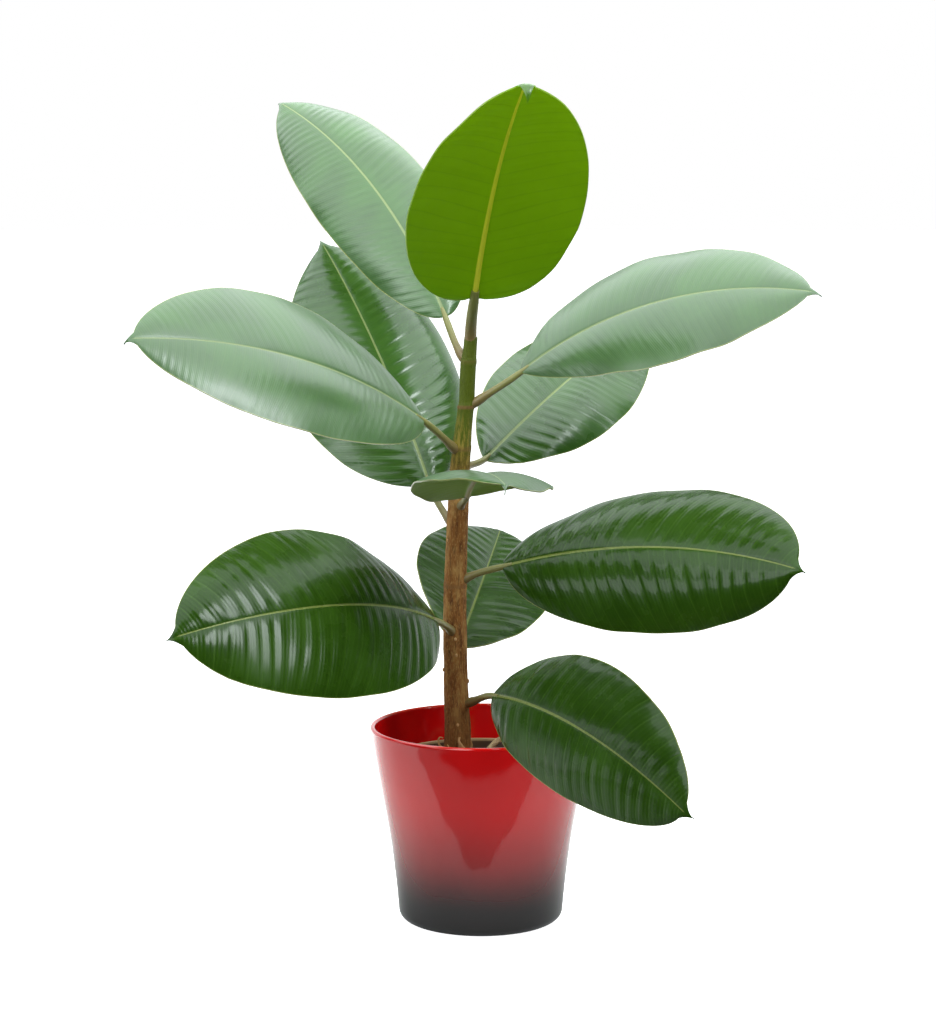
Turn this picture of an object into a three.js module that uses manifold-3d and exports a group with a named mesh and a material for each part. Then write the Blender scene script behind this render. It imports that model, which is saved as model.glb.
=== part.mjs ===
// Potted rubber plant: a woody stem with eleven leathery leaves, growing in a plastic
// nursery pot that stands inside a glazed planter.
// Millimetres, +Z up. The origin is the centre of the planter's flat underside,
// and -Y is the side that the plant shows to the viewer.

import * as THREE from 'three';
import { mergeVertices } from 'three/addons/utils/BufferGeometryUtils.js';
import Module from 'manifold-3d';

const wasm = await Module();
wasm.setup();

// ---------------------------------------------------------------- driving sizes

const GAP = 0.3; // between pieces that touch

const PLANTER_HEIGHT = 168;
const PLANTER_WALL = 4;
const PLANTER_FLOOR = 5;
const PLANTER_FOOT_ROUND = 8;
const PLANTER_SIDES = 44;
// outside radius of the planter at a few heights: [height, radius]
const PLANTER_SIDE = [
  [8, 70.5],
  [34, 73],
  [72, 78],
  [105, 84],
  [144, 91.5],
  [161, 94.2],
];
const PLANTER_RIM_RADIUS = 95;

const LINER_HEIGHT = 140;
const LINER_FLOOR_Z = PLANTER_FLOOR + GAP;
const LINER_WALL = 1.6;
const LINER_FOOT_RADIUS = 59;
const LINER_TOP_RADIUS = 75;
const LINER_LIP_RADIUS = 77.5;
const LINER_LIP_DROP = 7;
const LINER_SIDES = 32;

const SOIL_TOP_Z = 127;
const SOIL_ROUGHNESS = 2.2;
const SOIL_SIDES = 26;

const STEM_SIDES = 12;
const STEM_STEP = 13;
const STEM_FOOT_Z = 72;
const STEM_TOP_Z = 500;
// height, x of the stem's middle, radius
const STEM_LINE = [
  [72, -20, 6],
  [90, -20, 10],
  [118, -20, 12.6],
  [136, -20, 12.4],
  [150, -20, 11.8],
  [172, -20, 10.9],
  [190, -21, 10.3],
  [233, -22, 10],
  [278, -22, 9.6],
  [320, -21, 9.2],
  [362, -19, 8.7],
  [388, -18, 8.5],
  [422, -15, 7.3],
  [447, -12, 6.5],
  [473, -11, 6.7],
  [494, -9, 5.6],
  [500, -8.5, 5.5],
];
// leaf scars that ring the stem: height and how far they stand out
const STEM_RINGS = [
  [289, 0.4],
  [406, 0.6],
  [441, 0.9],
  [479, 0.8],
];
const STEM_RING_WIDTH = 2.2;

const LEAF_THICKNESS = 1.4;
const LEAF_TIP_LENGTH = 11;
const LEAF_STATIONS = 13;
const MIDRIB_DEPTH = 2.2;
const MIDRIB_HALF_WIDTH = 2.4;
const PETIOLE_RADIUS = 3.7;
const PETIOLE_SIDES = 8;
const PETIOLE_STEPS = 6;

// Each leaf: node is the height at which its stalk leaves the stem, base is where the
// blade begins. heading is the compass direction of the midrib in degrees (0 is +X,
// 90 is +Y), rise its slope at the base and droop how much it bends down by the tip.
// swing turns the midrib sideways along its length, roll and twist turn the blade
// about it, fold lifts both halves, and the curls bend each half down again.
// bulk moves the widest place (1 is the middle) and fullness rounds the outline.
// stalkTurn turns the way a stalk leaves the stem away from the straight line.
const LEAVES = [
  {
    name: 'leaf_01_low_right', node: 184, base: [10, -52, 204], stalkTurn: 46,
    heading: -63, rise: 7, droop: 35, swing: 14, roll: 55, twist: 26,
    length: 265, width: 114, fold: 11, curlLeft: 31, curlRight: 41, bulk: 1.06, fullness: 0.55,
  },
  {
    name: 'leaf_02_low_back', node: 233, base: [-20, 24, 231],
    heading: 79, rise: 19, droop: 8, swing: 4, roll: 26, twist: -8,
    length: 262, width: 130, fold: 16, curlLeft: 22, curlRight: 25, bulk: 1.12, fullness: 0.68,
  },
  {
    name: 'leaf_03_low_left', node: 245, base: [-37, -38, 265],
    heading: 247, rise: 21, droop: 33, swing: -40, roll: -59, twist: -3,
    length: 295, width: 153, fold: 7, curlLeft: 25, curlRight: 39, bulk: 0.98, fullness: 0.57,
  },
  {
    name: 'leaf_04_mid_right', node: 289, base: [18, -13, 307],
    heading: -18, rise: 17, droop: 27, swing: -18, roll: 48, twist: 14,
    length: 265, width: 149, fold: 4, curlLeft: 49, curlRight: 56, bulk: 0.97, fullness: 0.55,
  },
  {
    name: 'leaf_05_back_left', node: 335, base: [-44, 33, 371],
    heading: 124, rise: 57, droop: 16, swing: 0, roll: -19, twist: -16,
    length: 268, width: 174, fold: 3, curlLeft: 34, curlRight: 72, bulk: 0.9, fullness: 0.67,
  },
  {
    name: 'leaf_06_mid_front', node: 353, base: [-12, -26, 368],
    heading: -85, rise: 22, droop: 26, swing: 4, roll: 12, twist: -22,
    length: 238, width: 117, fold: 11, curlLeft: 45, curlRight: 38, bulk: 0.97, fullness: 0.7,
  },
  {
    name: 'leaf_07_back_right', node: 385, base: [3, 29, 393],
    heading: 54, rise: 28, droop: 9, swing: -2, roll: 38, twist: -12,
    length: 264, width: 120, fold: 8, curlLeft: 34, curlRight: 35, bulk: 1.08, fullness: 0.72,
  },
  {
    name: 'leaf_08_upper_left', node: 400, base: [-48, -31, 433],
    heading: 222, rise: 32, droop: 32, swing: -16, roll: -44, twist: -6,
    length: 282, width: 146, fold: 9, curlLeft: 30, curlRight: 28, bulk: 0.91, fullness: 0.64,
  },
  {
    name: 'leaf_09_upper_right', node: 439, base: [33, -6, 471],
    heading: -8, rise: 39, droop: 46, swing: -8, roll: 42, twist: -4,
    length: 259, width: 138, fold: 9, curlLeft: 33, curlRight: 32, bulk: 1.08, fullness: 0.7,
  },
  {
    name: 'leaf_10_top_left', node: 477, base: [-30, 19, 516],
    heading: 135, rise: 60, droop: 40, swing: -4, roll: -36, twist: -3,
    length: 290, width: 114, fold: 2, curlLeft: 39, curlRight: 47, bulk: 0.98, fullness: 0.57,
  },
  {
    name: 'leaf_11_top', node: STEM_TOP_Z, base: [-6, -27, 533],
    heading: -76, rise: 62, droop: 30, swing: 0, roll: -2, twist: 0,
    length: 240, width: 154, fold: 6, curlLeft: 27, curlRight: 46, bulk: 0.82, fullness: 0.54,
  },
];

const ROOT_RADIUS = 2.6;
const ROOT_SIDES = 8;
const ROOT_PATH = [
  [-2, 2, 116],
  [4, 8, 138],
  [14, 15, 150],
  [28, 22, 154],
  [42, 27, 146],
  [50, 29, 130],
  [52, 30, 114],
];

// ---------------------------------------------------------------- colours

const finish = (color, roughness, metalness = 0) =>
  new THREE.MeshStandardMaterial({ color, roughness, metalness });

const PLANTER_RED = finish(0x9c0a10, 0.12);
const LINER_BROWN = finish(0x8a5a3a, 0.55);
const SOIL_BROWN = finish(0x2e2018, 0.95);
const BARK_BROWN = finish(0x7a5233, 0.85);
const ROOT_TAN = finish(0xa98a5c, 0.9);
const LEAF_GREEN = finish(0x2f6b2c, 0.3);

// ---------------------------------------------------------------- helpers

const degrees = THREE.MathUtils.degToRad;

const vector = (x, y, z) => new THREE.Vector3(x, y, z);

// straight-line reading of a table whose rows begin with a height
function tableAt(table, column, height) {
  let row = 0;
  while (row < table.length - 2 && table[row + 1][0] < height) {
    row += 1;
  }
  const low = table[row];
  const high = table[row + 1];
  const share = THREE.MathUtils.clamp((height - low[0]) / (high[0] - low[0]), 0, 1);
  return THREE.MathUtils.lerp(low[column], high[column], share);
}

function signedVolume(points, faces) {
  let volume = 0;
  const cross = new THREE.Vector3();
  for (const [a, b, c] of faces) {
    cross.crossVectors(points[b], points[c]);
    volume += points[a].dot(cross) / 6;
  }
  return volume;
}

function geometryFrom(points, faces) {
  const geometry = new THREE.BufferGeometry();
  const flat = points.flatMap((point) => [point.x, point.y, point.z]);
  geometry.setAttribute('position', new THREE.Float32BufferAttribute(flat, 3));
  geometry.setIndex(faces.flat());
  return geometry;
}

// a closed skin through rings of equal count, with a fan over each end
function loft(rings) {
  const count = rings[0].length;
  const points = rings.flat();
  const faces = [];
  for (let ring = 0; ring < rings.length - 1; ring += 1) {
    for (let side = 0; side < count; side += 1) {
      const next = (side + 1) % count;
      const a = ring * count + side;
      const b = ring * count + next;
      faces.push([a, b, b + count]);
      faces.push([a, b + count, a + count]);
    }
  }
  for (const ring of [0, rings.length - 1]) {
    const middle = new THREE.Vector3();
    rings[ring].forEach((point) => middle.add(point));
    const centre = points.push(middle.divideScalar(count)) - 1;
    for (let side = 0; side < count; side += 1) {
      const a = ring * count + side;
      const b = ring * count + ((side + 1) % count);
      faces.push(ring === 0 ? [b, a, centre] : [a, b, centre]);
    }
  }
  if (signedVolume(points, faces) < 0) {
    faces.forEach((face) => face.reverse());
  }
  return geometryFrom(points, faces);
}

function solid(geometry) {
  const bare = geometry.clone();
  bare.deleteAttribute('normal');
  bare.deleteAttribute('uv');
  const merged = mergeVertices(bare, 1e-4);
  const vertProperties = new Float32Array(merged.attributes.position.array);
  const triVerts = new Uint32Array(merged.index.array);
  return new wasm.Manifold(new wasm.Mesh({ numProp: 3, vertProperties, triVerts }));
}

function named(name, body, material) {
  const cut = body.getMesh();
  const geometry = new THREE.BufferGeometry();
  const position = new Float32Array(cut.vertProperties);
  geometry.setAttribute('position', new THREE.BufferAttribute(position, 3));
  geometry.setIndex(new THREE.BufferAttribute(new Uint32Array(cut.triVerts), 1));
  geometry.computeVertexNormals();
  const mesh = new THREE.Mesh(geometry, material);
  mesh.name = name;
  return mesh;
}

// a round body about Z from [radius, height] points, which start and end on the axis
function turned(profile, sides) {
  const outline = profile.map(([radius, height]) => new THREE.Vector2(radius, height));
  const lathe = new THREE.LatheGeometry(outline, sides);
  lathe.rotateX(Math.PI / 2);
  return lathe;
}

// a tube of round section along a smooth curve through points
function tube(path, radius, sides, steps) {
  const section = new THREE.Shape();
  section.absarc(0, 0, radius, 0, 2 * Math.PI);
  return new THREE.ExtrudeGeometry(section, {
    extrudePath: path,
    steps,
    bevelEnabled: false,
    curveSegments: sides,
  });
}

// ---------------------------------------------------------------- pots and soil

function arcPoints(centreRadius, centreHeight, radius, from, to, count) {
  const points = [];
  for (let step = 0; step <= count; step += 1) {
    const angle = degrees(from + ((to - from) * step) / count);
    const across = centreRadius + radius * Math.cos(angle);
    const up = centreHeight + radius * Math.sin(angle);
    points.push([across, up]);
  }
  return points;
}

function planter() {
  const side = new THREE.SplineCurve(PLANTER_SIDE.map(([z, r]) => new THREE.Vector2(r, z)));
  const outside = side.getPoints(7).map((point) => [point.x, point.y]);
  const footRound = PLANTER_FOOT_ROUND;
  const foot = arcPoints(PLANTER_SIDE[0][1] - footRound, footRound, footRound, -90, -12, 3);
  const lipRadius = PLANTER_WALL / 2 + 0.3;
  const lipCentre = PLANTER_RIM_RADIUS - lipRadius;
  const lip = arcPoints(lipCentre, PLANTER_HEIGHT - lipRadius, lipRadius, -20, 180, 5);
  const inside = outside.slice(1, -1).reverse().map(([r, z]) => [r - PLANTER_WALL, z]);
  const corner = PLANTER_SIDE[0][1] - PLANTER_WALL;
  const profile = [
    [0, 0],
    ...foot,
    ...outside.slice(1),
    ...lip,
    ...inside,
    [corner, PLANTER_FLOOR + 5],
    [corner - 4, PLANTER_FLOOR],
    [0, PLANTER_FLOOR],
  ];
  return solid(turned(profile, PLANTER_SIDES));
}

const linerRadius = (height) => {
  const share = (height - LINER_FLOOR_Z) / (LINER_HEIGHT - LINER_FLOOR_Z);
  return THREE.MathUtils.lerp(LINER_FOOT_RADIUS, LINER_TOP_RADIUS, share);
};

function liner() {
  const floor = LINER_FLOOR_Z;
  const top = LINER_HEIGHT;
  const lipFoot = top - LINER_LIP_DROP;
  const profile = [
    [0, floor],
    [LINER_FOOT_RADIUS - 2, floor],
    [linerRadius(floor + 2), floor + 2],
    [linerRadius(lipFoot), lipFoot],
    [LINER_LIP_RADIUS - 0.5, lipFoot + 0.3],
    [LINER_LIP_RADIUS, lipFoot + 1],
    [LINER_LIP_RADIUS, top - 0.8],
    [LINER_LIP_RADIUS - 0.8, top],
    [LINER_TOP_RADIUS - LINER_WALL + 0.6, top],
    [LINER_TOP_RADIUS - LINER_WALL, top - 0.6],
    [linerRadius(floor + 3) - LINER_WALL, floor + LINER_WALL + 2],
    [linerRadius(floor + 3) - LINER_WALL - 2, floor + LINER_WALL],
    [0, floor + LINER_WALL],
  ];
  return solid(turned(profile, LINER_SIDES));
}

function soil() {
  const bottom = LINER_FLOOR_Z + LINER_WALL + GAP;
  const wall = (height) => linerRadius(height) - LINER_WALL - GAP;
  const profile = [
    [0, bottom],
    [wall(bottom) - 3, bottom],
    [wall(bottom + 3) - 0.2, bottom + 3],
    [wall(SOIL_TOP_Z - 3) - 0.3, SOIL_TOP_Z - 4],
    [wall(SOIL_TOP_Z) - 3, SOIL_TOP_Z],
    [60, SOIL_TOP_Z],
    [46, SOIL_TOP_Z],
    [32, SOIL_TOP_Z],
    [18, SOIL_TOP_Z],
    [0, SOIL_TOP_Z],
  ];
  const body = turned(profile, SOIL_SIDES);
  const place = body.attributes.position;
  for (let index = 0; index < place.count; index += 1) {
    if (place.getZ(index) > SOIL_TOP_Z - 1) {
      const x = place.getX(index);
      const y = place.getY(index);
      const mound = Math.sin(x * 0.11 + 1) * Math.cos(y * 0.13) + 0.5 * Math.sin(x * 0.31 - y * 0.27);
      place.setZ(index, SOIL_TOP_Z + SOIL_ROUGHNESS * mound);
    }
  }
  return solid(body);
}

// ---------------------------------------------------------------- stem

function stemRadius(height) {
  let radius = tableAt(STEM_LINE, 2, height);
  for (const [ringHeight, proud] of STEM_RINGS) {
    radius += proud * Math.exp(-(((height - ringHeight) / STEM_RING_WIDTH) ** 2));
  }
  return radius;
}

function stemMiddle(height) {
  return vector(tableAt(STEM_LINE, 1, height), 0, height);
}

function stemHeights() {
  const heights = [];
  for (let height = STEM_FOOT_Z; height < STEM_TOP_Z - 2; height += STEM_STEP) {
    heights.push(height);
  }
  heights.push(STEM_TOP_Z);
  for (const [height] of STEM_RINGS) {
    for (const offset of [-3, -1.5, 0, 1.5, 3]) {
      heights.push(height + offset);
    }
  }
  return heights.sort((a, b) => a - b).filter((h, i, all) => i === 0 || h - all[i - 1] > 0.7);
}

// the stem's round body, let out by extra all round
function stemBody(extra) {
  const rings = stemHeights().map((height) => {
    const middle = stemMiddle(height);
    const radius = stemRadius(height) + extra;
    const ring = [];
    for (let side = 0; side < STEM_SIDES; side += 1) {
      const angle = (2 * Math.PI * side) / STEM_SIDES;
      const wave = 1 + 0.025 * Math.sin(3 * angle + height * 0.05);
      const x = middle.x + radius * wave * Math.cos(angle);
      const y = radius * wave * Math.sin(angle);
      const end = height === STEM_FOOT_Z ? -extra : extra;
      const z = height === STEM_FOOT_Z || height === STEM_TOP_Z ? height + end : height;
      ring.push(vector(x, y, z));
    }
    return ring;
  });
  return solid(loft(rings));
}

// small knots and dried buds that stand on the bark: height, direction, size
const STEM_KNOTS = [
  [144, 180, 3.4],
  [152, -80, 3.2],
  [170, -88, 1.6],
  [206, -5, 2.2],
  [216, 180, 1.8],
  [230, -84, 1.5],
  [244, -88, 1.5],
];

function stem() {
  let body = stemBody(0);
  for (const [height, direction, size] of STEM_KNOTS) {
    const knot = new THREE.SphereGeometry(size, 8, 6);
    knot.scale(1, 1, 1.25);
    const reach = stemRadius(height) - size * 0.25;
    const angle = degrees(direction);
    const middle = stemMiddle(height);
    knot.translate(middle.x + reach * Math.cos(angle), reach * Math.sin(angle), height);
    body = body.add(solid(knot));
  }
  return body;
}

// ---------------------------------------------------------------- leaves

// the blade's direction, across and normal at a share of its length
function leafFrame(leaf, share) {
  const slope = degrees(leaf.rise - leaf.droop * share);
  const heading = degrees(leaf.heading + leaf.swing * share);
  const roll = degrees(leaf.roll + leaf.twist * share);
  const along = vector(
    Math.cos(slope) * Math.cos(heading),
    Math.cos(slope) * Math.sin(heading),
    Math.sin(slope),
  );
  const level = vector(-Math.sin(heading), Math.cos(heading), 0);
  const up = new THREE.Vector3().crossVectors(along, level);
  const across = level.clone().multiplyScalar(Math.cos(roll)).addScaledVector(up, Math.sin(roll));
  const normal = up.multiplyScalar(Math.cos(roll)).addScaledVector(level, -Math.sin(roll));
  return { along, across, normal };
}

function leafMidrib(leaf, share) {
  const steps = 24;
  const point = vector(...leaf.base);
  for (let step = 0; step < steps; step += 1) {
    const middle = (share * (step + 0.5)) / steps;
    point.addScaledVector(leafFrame(leaf, middle).along, (leaf.length * share) / steps);
  }
  return point;
}

function leafHalfWidth(leaf, share) {
  const place = share ** leaf.bulk;
  const swell = Math.max(4 * place * (1 - place), 0);
  return (leaf.width / 2) * swell ** leaf.fullness;
}

// how far a half of the blade reaches across and up at a share of its half width
function leafSection(fold, curl, share) {
  const steps = 8;
  let across = 0;
  let up = 0;
  for (let step = 0; step < steps; step += 1) {
    const angle = degrees(fold - (curl * share * (step + 0.5)) / steps);
    across += (Math.cos(angle) * share) / steps;
    up += (Math.sin(angle) * share) / steps;
  }
  return { across, up };
}

function leafBlade(leaf) {
  const rings = [];
  const shares = [1, 0.68, 0.34];
  const tipShare = LEAF_TIP_LENGTH / leaf.length;
  const stations = [];
  for (let station = 0; station <= LEAF_STATIONS; station += 1) {
    const even = station / LEAF_STATIONS;
    stations.push(0.5 - 0.5 * Math.cos(Math.PI * even));
  }
  stations[0] = 0.0015;
  stations.pop();
  stations.push(0.994, 0.994 + tipShare * 0.45, 0.994 + tipShare);
  for (const share of stations) {
    const { across, normal } = leafFrame(leaf, share);
    const middle = leafMidrib(leaf, share);
    let half = leafHalfWidth(leaf, Math.min(share, 0.994));
    const beyond = THREE.MathUtils.clamp((share - 0.994) / tipShare, 0, 1);
    half = Math.max(half * (1 - beyond) ** 2.2, 1.2 * (1 - 0.75 * beyond));
    const thick = (LEAF_THICKNESS / 2) * (1 - 0.4 * beyond);
    const ribScale = THREE.MathUtils.clamp(1.15 - share, 0.12, 1);
    const at = (sign, part, lift) => {
      const curl = sign > 0 ? leaf.curlLeft : leaf.curlRight;
      const spread = leafSection(leaf.fold, curl, part);
      return middle
        .clone()
        .addScaledVector(across, sign * half * spread.across)
        .addScaledVector(normal, half * spread.up + lift);
    };
    const ribHalf = Math.min(MIDRIB_HALF_WIDTH * ribScale + 0.3, half * 0.3) / half;
    const ring = [];
    shares.forEach((part) => ring.push(at(1, part, thick)));
    ring.push(at(1, 0, thick));
    [...shares].reverse().forEach((part) => ring.push(at(-1, part, thick)));
    shares.forEach((part) => ring.push(at(-1, part, -thick)));
    ring.push(at(-1, ribHalf, -thick));
    ring.push(at(1, 0, -thick - MIDRIB_DEPTH * ribScale));
    ring.push(at(1, ribHalf, -thick));
    [...shares].reverse().forEach((part) => ring.push(at(1, part, -thick)));
    rings.push(ring);
  }
  return solid(loft(rings));
}

function petiole(leaf) {
  const { along } = leafFrame(leaf, 0);
  const base = vector(...leaf.base);
  const start = stemMiddle(Math.min(leaf.node, STEM_TOP_Z - 6));
  const end = base.clone().addScaledVector(along, 7);
  end.addScaledVector(leafFrame(leaf, 0).normal, -1.4);
  const reach = start.distanceTo(base);
  const outward = base.clone().sub(start).setZ(0).normalize();
  outward.applyAxisAngle(vector(0, 0, 1), THREE.MathUtils.degToRad(leaf.stalkTurn ?? 0));
  const lean = leaf.node === STEM_TOP_Z ? 0.12 : 1;
  const leave = outward.multiplyScalar(lean).add(vector(0, 0, 0.75)).normalize();
  const first = start.clone().addScaledVector(leave, reach * 0.42);
  const last = base.clone().addScaledVector(along, -reach * 0.34);
  const path = new THREE.CubicBezierCurve3(start, first, last, end);
  return solid(tube(path, PETIOLE_RADIUS, PETIOLE_SIDES / 2, PETIOLE_STEPS));
}

// ---------------------------------------------------------------- the plant

const group = new THREE.Group();

const stemRoom = stemBody(GAP);
const rootPath = new THREE.CatmullRomCurve3(ROOT_PATH.map((point) => vector(...point)));
const root = solid(tube(rootPath, ROOT_RADIUS, ROOT_SIDES / 2, 12));
const rootRoom = solid(tube(rootPath, ROOT_RADIUS + GAP + 0.1, ROOT_SIDES / 2, 12));

group.add(named('planter', planter(), PLANTER_RED));
group.add(named('nursery_pot', liner(), LINER_BROWN));
group.add(named('potting_soil', soil().subtract(stemRoom).subtract(rootRoom), SOIL_BROWN));
group.add(named('stem', stem(), BARK_BROWN));
group.add(named('surface_root', root, ROOT_TAN));

for (const leaf of LEAVES) {
  const grown = leafBlade(leaf).add(petiole(leaf)).subtract(stemRoom);
  group.add(named(leaf.name, grown, LEAF_GREEN));
}

export default group;
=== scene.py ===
"""Visual model of a potted rubber plant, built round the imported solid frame.

The plant stands in a thin plastic nursery pot inside a glazed planter. Every
piece replaces the plain solid of the same name and stays in the same place.
The pieces are sized in millimetres, the finishes and the studio in metres,
and angles are degrees.
"""

from __future__ import annotations

import logging
import math
from dataclasses import dataclass, field
from enum import Enum

import bpy
import numpy as np
from bpy.types import Material, NodeSocket, Object
from mathutils import Matrix, Vector, noise

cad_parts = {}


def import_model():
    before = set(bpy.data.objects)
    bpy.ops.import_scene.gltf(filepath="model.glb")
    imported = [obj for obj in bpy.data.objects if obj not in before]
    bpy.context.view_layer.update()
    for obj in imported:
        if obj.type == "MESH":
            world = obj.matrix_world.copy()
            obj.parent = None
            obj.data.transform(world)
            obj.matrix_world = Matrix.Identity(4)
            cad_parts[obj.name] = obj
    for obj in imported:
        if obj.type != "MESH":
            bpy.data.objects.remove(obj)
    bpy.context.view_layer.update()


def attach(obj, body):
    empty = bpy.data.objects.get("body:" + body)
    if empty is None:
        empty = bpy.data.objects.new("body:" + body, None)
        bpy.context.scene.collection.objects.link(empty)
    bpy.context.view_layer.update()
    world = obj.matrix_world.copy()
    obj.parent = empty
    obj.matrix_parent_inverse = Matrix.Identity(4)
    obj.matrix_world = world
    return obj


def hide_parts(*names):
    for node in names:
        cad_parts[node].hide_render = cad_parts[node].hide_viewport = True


log = logging.getLogger("rubber_plant")

MM = 0.001

Colour = tuple[float, float, float]
Point = tuple[float, float, float]
Pair = tuple[float, float]

WHITE: Colour = (1.0, 1.0, 1.0)


class Slot(Enum):
    """Names of the record's material slots."""

    GLAZE = "planter_glaze"
    LINER = "liner_plastic"
    SOIL = "soil"
    BARK = "bark"
    ROOT = "dry_root"
    LEAF = "leaf"


# ------------------------------------------------------------------ shading


class ShaderBoard:
    """Builds one material's node tree with short calls."""

    def __init__(self, name: str) -> None:
        """Start an empty node tree for a material called name."""
        self.material = bpy.data.materials.new(name)
        self.material.use_nodes = True
        self.tree = self.material.node_tree
        self.tree.nodes.clear()
        self.output = self.tree.nodes.new("ShaderNodeOutputMaterial")

    def node(self, kind: str, **inputs: object) -> bpy.types.Node:
        """Add a node and fill its inputs.

        Args:
            kind: Blender's name for the node type.
            inputs: values or sockets, by input name with spaces as underscores.

        Returns:
            The new node.
        """
        made = self.tree.nodes.new(kind)
        for name, value in inputs.items():
            self.feed(made.inputs[name.replace("_", " ")], value)
        return made

    def feed(self, socket: NodeSocket, value: object) -> None:
        """Link a socket to another, or set its plain value."""
        if isinstance(value, NodeSocket):
            self.tree.links.new(value, socket)
        elif isinstance(value, tuple) and len(value) == 3 and socket.type == "RGBA":
            socket.default_value = (*value, 1.0)
        else:
            socket.default_value = value

    def maths(self, operation: str, first: object, second: object = 0.0) -> NodeSocket:
        """Return the socket of a two-input sum such as ADD or MULTIPLY."""
        made = self.tree.nodes.new("ShaderNodeMath")
        made.operation = operation
        self.feed(made.inputs[0], first)
        self.feed(made.inputs[1], second)
        return made.outputs[0]

    def fade(
        self, value: object, low: float, high: float, start: float = 0.0, end: float = 1.0
    ) -> NodeSocket:
        """Map value smoothly from low..high to start..end.

        Args:
            value: the socket that is read.
            low: reading that gives start.
            high: reading that gives end.
            start: result at low.
            end: result at high.

        Returns:
            The mapped socket.
        """
        made = self.tree.nodes.new("ShaderNodeMapRange")
        made.interpolation_type = "SMOOTHSTEP"
        for index, part in enumerate((value, low, high, start, end)):
            self.feed(made.inputs[index], part)
        return made.outputs[0]

    def blend(self, share: object, first: object, second: object) -> NodeSocket:
        """Return a colour between first and second by share."""
        made = self.tree.nodes.new("ShaderNodeMix")
        made.data_type = "RGBA"
        self.feed(made.inputs[0], share)
        self.feed(made.inputs[6], first)
        self.feed(made.inputs[7], second)
        return made.outputs[2]

    def attribute(self, name: str) -> NodeSocket:
        """Return the number stored on the mesh under name."""
        made = self.tree.nodes.new("ShaderNodeAttribute")
        made.attribute_name = name
        return made.outputs["Fac"]

    def place(self, stretch: Point = (1.0, 1.0, 1.0)) -> NodeSocket:
        """Return object coordinates, scaled along each axis by stretch."""
        where = self.tree.nodes.new("ShaderNodeTexCoord").outputs["Object"]
        made = self.tree.nodes.new("ShaderNodeMapping")
        self.feed(made.inputs["Vector"], where)
        made.inputs["Scale"].default_value = stretch
        return made.outputs[0]

    def height(self) -> NodeSocket:
        """Return the height above the floor in metres."""
        where = self.tree.nodes.new("ShaderNodeTexCoord").outputs["Object"]
        return self.node("ShaderNodeSeparateXYZ", Vector=where).outputs["Z"]

    def cloud(self, where: NodeSocket, scale: float, detail: float = 3.0, rough: float = 0.5) -> NodeSocket:
        """Return soft noise read at where.

        Args:
            where: coordinates to read the noise at.
            scale: how many patches to a metre.
            detail: layers of finer noise.
            rough: strength of the finer layers.

        Returns:
            The noise from 0 to 1.
        """
        made = self.node("ShaderNodeTexNoise", Vector=where, Scale=scale, Detail=detail, Roughness=rough)
        return made.outputs[0]

    def bump(self, height: NodeSocket, depth: float, strength: float = 1.0) -> NodeSocket:
        """Return a normal raised by height times depth in metres."""
        made = self.node("ShaderNodeBump", Height=height, Distance=depth, Strength=strength)
        return made.outputs[0]

    def mix(self, share: object, first: NodeSocket, second: NodeSocket) -> NodeSocket:
        """Return a shader between first and second by share."""
        made = self.tree.nodes.new("ShaderNodeMixShader")
        for socket, value in zip(made.inputs, (share, first, second)):
            self.feed(socket, value)
        return made.outputs[0]

    def seen(self) -> NodeSocket:
        """Return 1 where the camera looks straight at a surface and 0 for light."""
        return self.tree.nodes.new("ShaderNodeLightPath").outputs["Is Camera Ray"]

    def groove(self) -> NodeSocket:
        """Return the distance from the nearest vein, 0 on it and 1 midway."""
        turn = self.maths("MULTIPLY", self.attribute("vein"), math.pi)
        return self.maths("ABSOLUTE", self.maths("SINE", turn))

    def surface(
        self, colour: object, roughness: object, normal: NodeSocket | None = None, **more: object
    ) -> NodeSocket:
        """Add the main shader.

        Args:
            colour: base colour.
            roughness: 0 for a mirror, 1 for chalk.
            normal: bumped normal, if any.
            more: other plain inputs of the shader, by name.

        Returns:
            The shader's socket.
        """
        made = self.node("ShaderNodeBsdfPrincipled", Base_Color=colour, Roughness=roughness, **more)
        if normal is not None:
            self.feed(made.inputs["Normal"], normal)
        return made.outputs[0]

    def finish(self, shader: NodeSocket) -> Material:
        """Connect shader to the output and return the material."""
        self.tree.links.new(shader, self.output.inputs["Surface"])
        return self.material


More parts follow.
